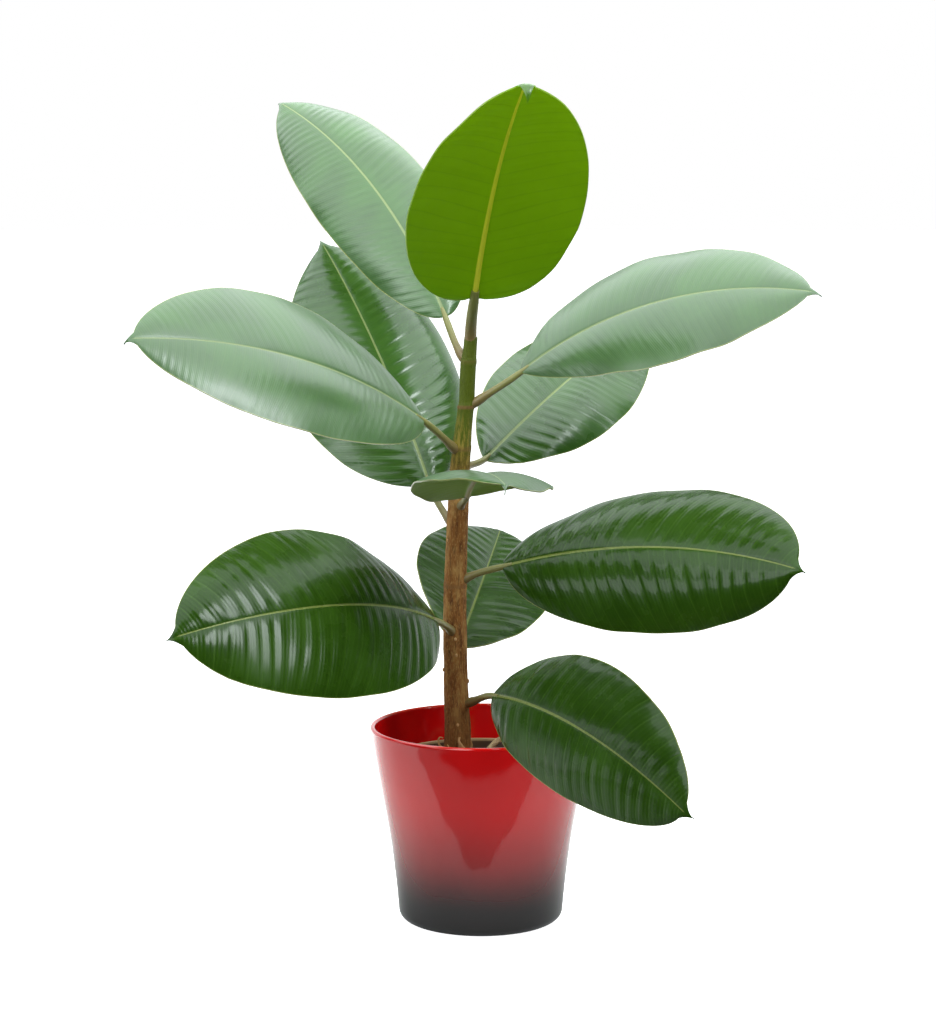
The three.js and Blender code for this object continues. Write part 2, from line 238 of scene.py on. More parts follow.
class WorldBoard(ShaderBoard):
    """Builds the light that comes from round the studio."""

    def __init__(self, name: str) -> None:
        """Start an empty world called name."""
        self.world = bpy.data.worlds.new(name)
        self.world.use_nodes = True
        self.tree = self.world.node_tree
        self.tree.nodes.clear()
        self.output = self.tree.nodes.new("ShaderNodeOutputWorld")

    def direction(self) -> NodeSocket:
        """Return the direction that is looked at."""
        return self.tree.nodes.new("ShaderNodeTexCoord").outputs["Generated"]

    def axis(self, ray: NodeSocket, name: str) -> NodeSocket:
        """Return one part of a direction, by its axis name."""
        return self.node("ShaderNodeSeparateXYZ", Vector=ray).outputs[name]

    def spot(
        self, ray: NodeSocket, azimuth: float, elevation: float, inner: float, outer: float, strength: float
    ) -> NodeSocket:
        """Return a soft round patch of light.

        Args:
            ray: the direction that is looked at.
            azimuth: compass direction of its middle, from +Y towards +X, in degrees.
            elevation: of its middle, in degrees.
            inner: radius inside which it is full, in degrees.
            outer: radius outside which it is dark, in degrees.
            strength: its full brightness.

        Returns:
            The patch's brightness.
        """
        turn, lift = math.radians(azimuth), math.radians(elevation)
        aim = (math.sin(turn) * math.cos(lift), math.cos(turn) * math.cos(lift), math.sin(lift))
        made = self.tree.nodes.new("ShaderNodeVectorMath")
        made.operation = "DOT_PRODUCT"
        self.feed(made.inputs[0], ray)
        made.inputs[1].default_value = aim
        near, far = math.cos(math.radians(outer)), math.cos(math.radians(inner))
        return self.fade(made.outputs["Value"], near, far, 0.0, strength)

    def finish_world(self, light: NodeSocket, tint: Colour) -> None:
        """Light the room with tinted light, and keep plain white behind the plant."""
        room = self.node("ShaderNodeBackground", Color=tint, Strength=light)
        plain = self.node("ShaderNodeBackground", Color=WHITE, Strength=1.0)
        mixed = self.mix(self.seen(), room.outputs[0], plain.outputs[0])
        self.tree.links.new(mixed, self.output.inputs["Surface"])
        bpy.context.scene.world = self.world


@dataclass(frozen=True)
class GlazeFinish:
    """Clear-coated glaze, red at the top and charcoal at the foot."""

    name: str = "planter glaze"
    red: Colour = (0.64, 0.002, 0.003)
    wine: Colour = (0.19, 0.007, 0.007)
    charcoal: Colour = (0.014, 0.010, 0.010)
    fade_high: float = 0.128
    fade_low: float = 0.026
    wine_height: float = 0.060
    # how far the fade wanders up and down
    spray: float = 0.012

    def material(self) -> Material:
        """Return the glaze with its uneven sprayed fade."""
        board = ShaderBoard(self.name)
        cloud = board.cloud(board.place(), 14.0, 4.0, 0.6)
        height = board.maths("ADD", board.height(), board.maths("MULTIPLY", cloud, self.spray))
        foot = board.fade(height, self.fade_low, self.wine_height + self.spray)
        top = board.fade(height, self.wine_height - self.spray, self.fade_high)
        colour = board.blend(foot, self.charcoal, self.wine)
        colour = board.blend(top, colour, self.red)
        rough = board.fade(board.cloud(board.place(), 30.0), 0.3, 0.7, 0.16, 0.24)
        clear = {"Coat_Weight": 1.0, "Coat_Roughness": 0.02, "Coat_IOR": 1.53}
        return board.finish(board.surface(colour, rough, Specular_IOR_Level=0.2, **clear))


@dataclass(frozen=True)
class PlasticFinish:
    """Matte moulded plastic with fine scuffs."""

    name: str = "brown plastic"
    colour: Colour = (0.060, 0.026, 0.012)
    scuffed: Colour = (0.13, 0.065, 0.032)
    # pale rim top: the pot's tan plastic with a painted highlight
    rim_tan_and_highlight: Colour = (0.40, 0.26, 0.14)
    rim_band_height: float = 0.1380
    rim_band_edge: float = 0.0008
    roughness: float = 0.5

    def material(self) -> Material:
        """Return the plastic with pale scuffs, a pale rim top with a painted highlight, and a fine grain.
        """
        board = ShaderBoard(self.name)
        scuff = board.fade(board.cloud(board.place((1, 1, 6)), 60.0, 5.0, 0.7), 0.55, 0.75)
        colour = board.blend(scuff, self.colour, self.scuffed)
        # the top of the rolled rim is painted pale tan, partly a painted highlight
        low, high = self.rim_band_height - self.rim_band_edge, self.rim_band_height + self.rim_band_edge
        rim = board.fade(board.height(), low, high)
        colour = board.blend(rim, colour, self.rim_tan_and_highlight)
        grain = board.bump(board.cloud(board.place(), 900.0, 2.0), 0.0002, 0.4)
        rough = board.fade(scuff, 0.0, 1.0, self.roughness, self.roughness + 0.2)
        return board.finish(board.surface(colour, rough, grain))


@dataclass(frozen=True)
class SoilFinish:
    """Dark peat with paler fibres."""

    name: str = "potting mix"
    dark: Colour = (0.020, 0.012, 0.007)
    light: Colour = (0.13, 0.085, 0.05)

    def material(self) -> Material:
        """Return the peat's mottled crumbs."""
        board = ShaderBoard(self.name)
        crumbs = board.cloud(board.place(), 220.0, 6.0, 0.7)
        colour = board.blend(board.fade(crumbs, 0.42, 0.72), self.dark, self.light)
        relief = board.bump(crumbs, 0.0015, 0.9)
        return board.finish(board.surface(colour, 0.95, relief))


@dataclass(frozen=True)
class BarkFinish:
    """Fissured brown bark that turns to green skin near the top."""

    name: str = "rubber plant bark"
    brown: Colour = (0.225, 0.088, 0.021)
    dark: Colour = (0.075, 0.026, 0.007)
    tan: Colour = (0.46, 0.26, 0.085)
    green: Colour = (0.070, 0.092, 0.003)
    husk: Colour = (0.26, 0.19, 0.030)
    ring: Colour = (0.17, 0.085, 0.03)
    lenticel: Colour = (0.62, 0.37, 0.17)
    # heights between which the painted shade at the stem's foot fades out
    shade_full_height: float = 0.165
    shade_end_height: float = 0.235
    cork_height: float = 0.385
    green_height: float = 0.435
    cork_span: float = 0.06
    green_span: float = 0.045

    def material(self) -> Material:
        """Return bark whose streaks run up the stem."""
        board = ShaderBoard(self.name)
        streak = board.cloud(board.place((1, 1, 0.13)), 520.0, 6.0, 0.7)
        grain = board.cloud(board.place((1, 1, 0.3)), 1100.0, 3.0, 0.6)
        patch = board.cloud(board.place((1, 1, 0.35)), 90.0, 4.0, 0.6)
        bark = board.blend(board.fade(streak, 0.33, 0.55), self.dark, self.brown)
        bark = board.blend(board.fade(grain, 0.50, 0.68, 0.0, 0.6), bark, self.tan)
        bark = board.blend(board.fade(patch, 0.44, 0.72, 0.0, 0.75), bark, self.tan)
        height = board.maths("ADD", board.height(), board.maths("MULTIPLY", streak, 0.05))
        skin = board.blend(board.fade(streak, 0.46, 0.60), self.green, self.husk)
        green = board.fade(height, self.green_height, self.green_height + self.green_span)
        skin = board.blend(green, skin, self.green)
        cork = board.fade(height, self.cork_height, self.cork_height + self.cork_span)
        colour = board.blend(cork, bark, skin)
        # painted shade: the bark is darkened towards the stem's foot, where shade falls
        foot_shade_brown = tuple(part * 0.5 for part in self.brown)
        foot_shade = board.fade(height, self.shade_full_height, self.shade_end_height, 0.6, 0.0)
        colour = board.blend(foot_shade, colour, foot_shade_brown)
        scar = board.fade(board.attribute("scar"), 0.15, 0.8, 0.0, 0.75)
        colour = board.blend(scar, colour, self.ring)
        colour = board.blend(board.attribute("pale"), colour, self.lenticel)
        relief = board.bump(board.maths("ADD", streak, grain), 0.0011, 0.9)
        rough = board.fade(height, self.cork_height, self.green_height + 0.05, 0.86, 0.48)
        return board.finish(board.surface(colour, rough, relief, Specular_IOR_Level=0.2))


@dataclass(frozen=True)
class DryRootFinish:
    """Pale fibrous root skin."""

    name: str = "dry root"
    pale: Colour = (0.50, 0.36, 0.20)
    dark: Colour = (0.20, 0.12, 0.06)

    def material(self) -> Material:
        """Return the root's fibrous skin."""
        board = ShaderBoard(self.name)
        fibre = board.cloud(board.place((0.5, 0.5, 1.2)), 420.0, 5.0, 0.65)
        colour = board.blend(board.fade(fibre, 0.35, 0.62), self.dark, self.pale)
        return board.finish(board.surface(colour, 0.9, board.bump(fibre, 0.0009, 0.9)))


@dataclass(frozen=True)
class LeafTopFinish:
    """Leathery, glossy upper side of a leaf."""

    name: str
    green: Colour = (0.018, 0.054, 0.0025)
    fresh: Colour = (0.029, 0.078, 0.0040)
    vein: Colour = (0.050, 0.110, 0.012)
    rib: Colour = (0.21, 0.24, 0.060)
    margin: Colour = (0.24, 0.26, 0.07)
    roughness: float = 0.40
    glow: float = 0.10
    through: Colour = (0.22, 0.52, 0.02)
    coat: float = 1.0
    coat_roughness: float = 0.27
    gloss: float = 0.5

    def material(self) -> Material:
        """Return the blade's upper skin with its rib, veins and margin."""
        board = ShaderBoard(self.name)
        cloud = board.cloud(board.place(), 22.0, 4.0, 0.55)
        colour = board.blend(board.fade(cloud, 0.35, 0.68), self.green, self.fresh)
        colour = board.blend(board.fade(board.groove(), 0.0, 0.16, 0.55, 0.0), colour, self.vein)
        fine = board.maths("SINE", board.maths("MULTIPLY", board.attribute("vein"), 4 * math.tau))
        colour = board.blend(board.fade(fine, 0.5, 1.0, 0.0, 0.14), colour, self.vein)
        colour = board.blend(board.fade(board.attribute("rib"), 1.2, 0.7), colour, self.rib)
        colour = board.blend(board.fade(board.attribute("edge"), 0.9, 0.4), colour, self.margin)
        pores = board.cloud(board.place(), 1500.0, 2.0)
        relief = board.maths("ADD", board.maths("MULTIPLY", fine, 0.5), board.maths("MULTIPLY", pores, 0.3))
        normal = board.bump(relief, 0.00010, 0.6)
        rough = board.fade(cloud, 0.3, 0.7, self.roughness - 0.04, self.roughness + 0.06)
        rib = board.attribute("rib")
        skin = board.surface(
            colour,
            rough,
            normal,
            Specular_IOR_Level=board.fade(rib, 0.8, 1.3, 0.25, self.gloss),
            Coat_Weight=board.fade(rib, 0.8, 1.3, self.coat * 0.3, self.coat),
            Coat_Roughness=self.coat_roughness,
            Coat_IOR=1.45,
        )
        through = board.node("ShaderNodeBsdfTranslucent", Color=self.through).outputs[0]
        return board.finish(board.mix(self.glow, skin, through))


@dataclass(frozen=True)
class LeafUnderFinish:
    """Matte, paler underside of a leaf."""

    name: str
    green: Colour = (0.33, 0.43, 0.120)
    fresh: Colour = (0.38, 0.48, 0.145)
    vein: Colour = (0.42, 0.50, 0.17)
    rib: Colour = (0.52, 0.40, 0.20)
    margin: Colour = (0.55, 0.44, 0.22)
    roughness: float = 0.5
    gloss: float = 0.4
    glow: float = 0.34
    through: Colour = (0.66, 0.82, 0.16)
    rib_through: Colour = (0.90, 0.80, 0.35)

    def material(self) -> Material:
        """Return the underside with its rib, veins and margin."""
        board = ShaderBoard(self.name)
        cloud = board.cloud(board.place(), 26.0, 4.0, 0.55)
        colour = board.blend(board.fade(cloud, 0.35, 0.68), self.green, self.fresh)
        lines = board.fade(board.groove(), 0.0, 0.22, 1.0, 0.0)
        colour = board.blend(board.maths("MULTIPLY", lines, 0.45), colour, self.vein)
        rib = board.fade(board.attribute("rib"), 1.9, 1.4)
        colour = board.blend(rib, colour, self.rib)
        colour = board.blend(board.fade(board.attribute("edge"), 1.1, 0.5), colour, self.margin)
        relief = board.maths("ADD", lines, board.cloud(board.place(), 1200.0, 2.0))
        normal = board.bump(relief, 0.00014, 0.6)
        skin = board.surface(colour, self.roughness, normal, Specular_IOR_Level=self.gloss)
        shade = board.blend(lines, self.through, tuple(part * 0.8 for part in self.through))
        shade = board.blend(rib, shade, self.rib_through)
        through = board.node("ShaderNodeBsdfTranslucent", Color=shade).outputs[0]
        return board.finish(board.mix(self.glow, skin, through))


@dataclass(frozen=True)
class StalkFinish:
    """Olive leaf stalk that browns towards the stem."""

    name: str = "leaf stalk"
    olive: Colour = (0.19, 0.185, 0.050)
    brown: Colour = (0.16, 0.10, 0.036)

    def material(self) -> Material:
        """Return the stalk's skin, browner where it leaves the stem."""
        board = ShaderBoard(self.name)
        speck = board.cloud(board.place(), 260.0, 4.0, 0.6)
        share = board.maths("ADD", board.attribute("reach"), board.maths("MULTIPLY", speck, 0.5))
        colour = board.blend(board.fade(share, 0.25, 1.0), self.brown, self.olive)
        return board.finish(board.surface(colour, 0.45, board.bump(speck, 0.0003, 0.6)))


@dataclass(frozen=True)
class FloorFinish:
    """Plain pale floor whose reflections end at the table's front edge."""

    name: str = "studio floor"
    white: Colour = (0.93, 0.93, 0.93)
    bounce: Colour = (0.78, 0.78, 0.78)
    # painted shade round the pot's foot, seen only in reflections and bounced light
    shaded: Colour = (0.40, 0.40, 0.40)
    drape: Colour = (0.30, 0.30, 0.30)
    dark: Colour = (0.03, 0.03, 0.03)
    glow: float = 1.0
    shade_near: float = 0.08
    shade_far: float = 0.24
    table_edge: float = -0.185
    drape_edge: float = -0.30
    crease: float = 0.035
    table_soft: float = 0.004
    drape_soft: float = 0.02
    backdrop: float = 1.1
    backdrop_near: float = 0.15
    backdrop_far: float = 0.7

    def material(self) -> Material:
        """Return white paint that looks even, with a dark front for reflections."""
        board = ShaderBoard(self.name)
        lit = {"Emission_Color": WHITE, "Emission_Strength": self.glow}
        plain = board.surface(self.white, 0.9, Specular_IOR_Level=0.1, **lit)
        where = board.tree.nodes.new("ShaderNodeTexCoord").outputs["Object"]
        parts = board.node("ShaderNodeSeparateXYZ", Vector=where).outputs
        depth = parts["Y"]
        square = [board.maths("MULTIPLY", parts[axis], parts[axis]) for axis in ("X", "Y")]
        reach = board.maths("SQRT", board.maths("ADD", *square))
        creases = board.maths("MULTIPLY", board.cloud(board.place(), 7.0, 4.0, 0.65), 2 * self.crease)
        front = board.maths("ADD", depth, board.maths("SUBTRACT", creases, self.crease))
        table = board.fade(front, self.table_edge - self.table_soft, self.table_edge + self.table_soft)
        hem = board.fade(front, self.drape_edge - self.drape_soft, self.drape_edge + self.drape_soft)
        backdrop = board.fade(depth, self.backdrop_near, self.backdrop_far, 0.0, self.backdrop)
        far = {"Emission_Color": WHITE, "Emission_Strength": backdrop}
        # painted shade: the bounced floor is darker close to the pot, where its shadow falls
        near = board.fade(reach, self.shade_near, self.shade_far)
        colour = board.blend(near, self.shaded, self.bounce)
        colour = board.blend(table, board.blend(hem, self.dark, self.drape), colour)
        bounced = board.surface(colour, 0.9, Specular_IOR_Level=0.1, **far)
        return board.finish(board.mix(board.seen(), bounced, plain))


# ------------------------------------------------------------------ modelling


def deselect() -> None:
    """Leave edit mode and deselect every object."""
    if bpy.context.object is not None and bpy.context.object.mode != "OBJECT":
        bpy.ops.object.mode_set(mode="OBJECT")
    bpy.ops.object.select_all(action="DESELECT")


def pick(piece: Object) -> None:
    """Select one object and make it the active one."""
    deselect()
    piece.select_set(True)
    bpy.context.view_layer.objects.active = piece


def settle(piece: Object) -> None:
    """Put a piece's place into its mesh, so that its object sits at the origin."""
    pick(piece)
    bpy.ops.object.transform_apply(location=True, rotation=True, scale=True)


def smooth(piece: Object, angle: float = 40.0) -> None:
    """Shade a piece smooth, with creases sharper than angle kept."""
    pick(piece)
    bpy.ops.object.shade_smooth_by_angle(angle=math.radians(angle))


def apply_modifier(piece: Object, kind: str, **settings: object) -> None:
    """Add a modifier, set it and apply it.

    Args:
        piece: the object that takes it.
        kind: Blender's name for the modifier type.
        settings: its properties.
    """
    pick(piece)
    made = piece.modifiers.new(kind.title(), kind)
    for name, value in settings.items():
        setattr(made, name, value)
    bpy.ops.object.modifier_apply(modifier=made.name)


def join(pieces: list[Object], name: str) -> Object:
    """Join pieces into the first one and name it.

    Args:
        pieces: the objects to join.
        name: the joined object's name.

    Returns:
        The joined object.
    """
    deselect()
    for piece in pieces:
        piece.select_set(True)
    bpy.context.view_layer.objects.active = pieces[0]
    if len(pieces) > 1:
        bpy.ops.object.join()
    pieces[0].name = name
    return pieces[0]


def dress(piece: Object, *materials: Material) -> None:
    """Give a piece its materials, in slot order."""
    piece.data.materials.clear()
    for material in materials:
        piece.data.materials.append(material)


def corners(piece: Object) -> np.ndarray:
    """Return a mesh's corners as rows of x, y, z."""
    flat = np.empty(len(piece.data.vertices) * 3)
    piece.data.vertices.foreach_get("co", flat)
    return flat.reshape(-1, 3)


def move_corners(piece: Object, places: np.ndarray) -> None:
    """Put a mesh's corners at places, given as rows of x, y, z."""
    piece.data.vertices.foreach_set("co", places.ravel())
    piece.data.update()


def crumple(piece: Object, depth: float, scale: float) -> None:
    """Shift every corner of a piece with noise.

    Args:
        piece: the object that is roughened.
        depth: how far the corners move, in metres.
        scale: how many bumps to a metre.
    """
    places = corners(piece)
    for place in places:
        place += depth * np.array(noise.noise_vector(Vector(place) * scale))
    move_corners(piece, places)


def store(piece: Object, name: str, values: np.ndarray) -> None:
    """Store one number for each corner under name."""
    layer = piece.data.attributes.get(name) or piece.data.attributes.new(name, "FLOAT", "POINT")
    layer.data.foreach_set("value", values.astype(np.float32))


def register(piece: Object, node: str) -> None:
    """Tie a finished piece to its node of the frame.

    Args:
        piece: the finished object.
        node: name of the CAD node that it replaces.
    """
    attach(piece, "root")
    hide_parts(node)
    log.info("%s: %d faces", piece.name, len(piece.data.polygons))


class RingBuilder:
    """Raises a round body ring by ring, by extruding its top face."""

    def __init__(self, radius: float, centre: Point, sides: int) -> None:
        """Add the first face.

        Args:
            radius: of the first ring.
            centre: middle of the first ring.
            sides: corners in each ring.
        """
        deselect()
        bpy.ops.mesh.primitive_circle_add(vertices=sides, radius=radius, fill_type="NGON", location=centre)
        self.piece = bpy.context.object
        self.radius = radius
        self.centre = Vector(centre)
        bpy.ops.object.mode_set(mode="EDIT")
        bpy.ops.mesh.select_all(action="SELECT")

    def raise_to(self, radius: float, centre: Point) -> None:
        """Extrude the top face to a new middle and radius."""
        step = Vector(centre) - self.centre
        bpy.ops.mesh.extrude_region_move(TRANSFORM_OT_translate={"value": tuple(step)})
        share = radius / self.radius
        bpy.ops.transform.resize(value=(share, share, 1.0), center_override=tuple(centre))
        self.radius = radius
        self.centre = Vector(centre)

    def finished(self) -> Object:
        """Close the body with its faces pointing out and return it."""
        bpy.ops.mesh.select_all(action="SELECT")
        bpy.ops.mesh.normals_make_consistent(inside=False)
        bpy.ops.object.mode_set(mode="OBJECT")
        settle(self.piece)
        return self.piece


def turned(profile: list[Pair], sides: int) -> Object:
    """Raise a body about the Z axis from [radius, height] steps in millimetres.

    Args:
        profile: radius and height of each ring, from the underside's edge round
            the outside, over the rim and down inside.
        sides: corners in each ring.

    Returns:
        The closed body.
    """
    radius, height = profile[0]
    builder = RingBuilder(radius * MM, (0.0, 0.0, height * MM), sides)
    for radius, height in profile[1:]:
        builder.raise_to(radius * MM, (0.0, 0.0, height * MM))
    return builder.finished()


def arc(centre: Pair, radius: float, start: float, end: float, steps: int) -> list[Pair]:
    """Return points on an arc in the plane of radius and height.

    Args:
        centre: middle of the arc.
        radius: of the arc.
        start: first angle in degrees, 0 being outwards and 90 up.
        end: last angle in degrees.
        steps: number of chords.

    Returns:
        The arc's points, both ends included.
    """
    points = []
    for step in range(steps + 1):
        angle = math.radians(start + (end - start) * step / steps)
        points.append((centre[0] + radius * math.cos(angle), centre[1] + radius * math.sin(angle)))
    return points


def smooth_between(table: list[Pair], count: int) -> list[Pair]:
    """Return count points on a smooth curve through a table of pairs.

    Args:
        table: knots of the curve.
        count: number of points returned, ends included.

    Returns:
        Points evenly spread over the knots.
    """
    knots = [table[0], *table, table[-1]]
    points = []
    for index in range(count):
        place = index * (len(table) - 1) / (count - 1)
        first = min(int(place), len(table) - 2)
        share = place - first
        a, b, c, d = (np.array(knot) for knot in knots[first : first + 4])
        bend = 2 * b + (c - a) * share + (2 * a - 5 * b + 4 * c - d) * share**2
        point = 0.5 * (bend + (3 * b - a - 3 * c + d) * share**3)
        points.append((float(point[0]), float(point[1])))
    return points


# ------------------------------------------------------------------ pots


@dataclass
class Planter:
    """Glazed cover pot with a rounded lip. Sizes in millimetres."""

    height: float = 168.0
    rim_radius: float = 95.0
    wall: float = 4.0
    floor: float = 5.0
    foot_round: float = 8.0
    sides: int = 128
    # radius and height of the outside, from the foot up
    side: list[Pair] = field(
        default_factory=lambda: [(70.5, 8), (73, 34), (78, 72), (84, 105), (91.5, 144), (94.2, 161)]
    )

    def build(self) -> Object:
        """Return the dressed planter."""
        outside = smooth_between(self.side, 26)
        foot = arc((self.side[0][0] - self.foot_round, self.foot_round), self.foot_round, -90, -8, 7)
        lip_radius = self.wall / 2 + 0.2
        lip_middle = (self.rim_radius - lip_radius - 0.1, self.height - lip_radius - 0.1)
        lip = arc(lip_middle, lip_radius, -20, 180, 12)
        inside = [(radius - self.wall, height) for radius, height in reversed(outside[2:-1])]
        corner = self.side[0][0] - self.wall
        bowl = [(corner, self.floor + 6), (corner - 1.5, self.floor + 2), (corner - 5, self.floor)]
        under = [(30.0, 0.1), (58.0, 0.1)]
        middle = (20.0, self.floor)
        profile = [*under, *foot[1:], *outside[1:], *lip, *inside, *bowl, middle]
        piece = turned(profile, self.sides)
        piece.name = "planter_shell"
        smooth(piece, 50)
        dress(piece, GlazeFinish().material())
        register(piece, "planter")
        return piece


@dataclass
class NurseryPot:
    """Thin growing pot with a rolled rim. Sizes in millimetres."""

    height: float = 140.0
    floor_height: float = 5.3
    wall: float = 1.4
    foot_radius: float = 59.0
    top_radius: float = 75.0
    lip_radius: float = 77.5
    lip_drop: float = 7.0
    sides: int = 96

    def side(self, height: float) -> float:
        """Return the outside radius at a height."""
        share = (height - self.floor_height) / (self.height - self.floor_height)
        return self.foot_radius + (self.top_radius - self.foot_radius) * share

    def build(self) -> Object:
        """Return the dressed nursery pot."""
        low, top = self.floor_height, self.height
        lip = top - self.lip_drop
        outside = [(self.side(low + 2 + step * 9), low + 2 + step * 9) for step in range(14)]
        rim = arc((self.lip_radius - 0.8, top - 0.9), 0.8, 0, 90, 4)
        throat = arc((self.top_radius - self.wall + 0.7, top - 0.8), 0.8, 90, 180, 4)
        inside = [(radius - self.wall, height + 1) for radius, height in reversed(outside[1:])]
        profile = [
            (30.0, low + 0.1),
            (self.foot_radius - 2, low + 0.1),
            *outside,
            (self.side(lip), lip),
            (self.lip_radius - 0.4, lip + 0.3),
            (self.lip_radius, lip + 0.8),
            *rim,
            *throat,
            *inside,
            (self.side(low + 3) - self.wall, low + 4),
            (self.foot_radius - 4, low + self.wall),
            (20.0, low + self.wall),
        ]
        piece = turned(profile, self.sides)
        piece.name = "nursery_pot_shell"
        smooth(piece, 50)
        dress(piece, PlasticFinish().material())
        register(piece, "nursery_pot")
        return piece


@dataclass
class PottingSoil:
    """Crumbly surface of the root ball, with clods on it. Sizes in millimetres."""

    top: float = 127.0
    bottom: float = 7.4
    top_radius: float = 71.4
    foot_radius: float = 56.0
    clods: int = 420
    clod_size: Pair = (0.8, 2.6)
    proudest: float = 3.0
    settled: float = 0.6
    mound: float = 1.8
    crumb: float = 1.3
    seed: int = 7

    def surface(self, x: float, y: float) -> float:
        """Return the soil's height at a place, all in metres."""
        mound = math.sin(x / MM * 0.11 + 1) * math.cos(y / MM * 0.13)
        crumbs = noise.fractal(Vector((x * 90, y * 90, 3.0)), 0.7, 2.1, 5)
        return (self.top - self.settled + self.mound * mound + self.crumb * crumbs) * MM

    def body(self) -> Object:
        """Return the soil's body with its top roughened."""
        rings = [(self.foot_radius - 3, self.bottom), (self.foot_radius, self.bottom + 3)]
        wider = self.top_radius - self.foot_radius
        rings += [(self.foot_radius + wider * step / 6, 10 + 18.9 * step) for step in range(1, 7)]
        rings += [(self.top_radius * (1 - step / 60), self.top) for step in range(1, 59)]
        piece = turned([(20.0, self.bottom), *rings], 150)
        places = corners(piece)
        for place in places:
            if place[2] > (self.top - 1.0) * MM:
                place[2] = self.surface(place[0], place[1])
        move_corners(piece, places)
        return piece

    def clod_mesh(self) -> list[Object]:
        """Return small lumps and chips strewn on the surface."""
        chance = np.random.default_rng(self.seed)
        lumps = []
        for index in range(self.clods):
            reach = (self.top_radius - 3) * MM * math.sqrt(chance.uniform(0.03, 1))
            angle = chance.uniform(0, math.tau)
            x, y = reach * math.cos(angle), reach * math.sin(angle)
            size = MM * chance.uniform(*self.clod_size) * (0.6 if index % 3 else 1.0)
            deselect()
            bpy.ops.mesh.primitive_ico_sphere_add(
                subdivisions=1,
                radius=size,
                location=(x, y, self.surface(x, y) + size * 0.3),
                rotation=tuple(chance.uniform(0, math.tau, 3)),
                scale=tuple(chance.uniform(0.5, 1.25, 3)),
            )
            lumps.append(bpy.context.object)
        return lumps

    def build(self) -> Object:
        """Return the dressed soil."""
        lumps = self.clod_mesh()
        scatter = join(lumps, "clods")
        settle(scatter)
        crumple(scatter, 0.4 * MM, 900)
        places = corners(scatter)
        places[:, 2] = np.minimum(places[:, 2], (self.top + self.proudest) * MM)
        move_corners(scatter, places)
        piece = join([self.body(), scatter], "soil_surface")
        smooth(piece, 60)
        dress(piece, SoilFinish().material())
        register(piece, "potting_soil")
        return piece


# ------------------------------------------------------------------ stem


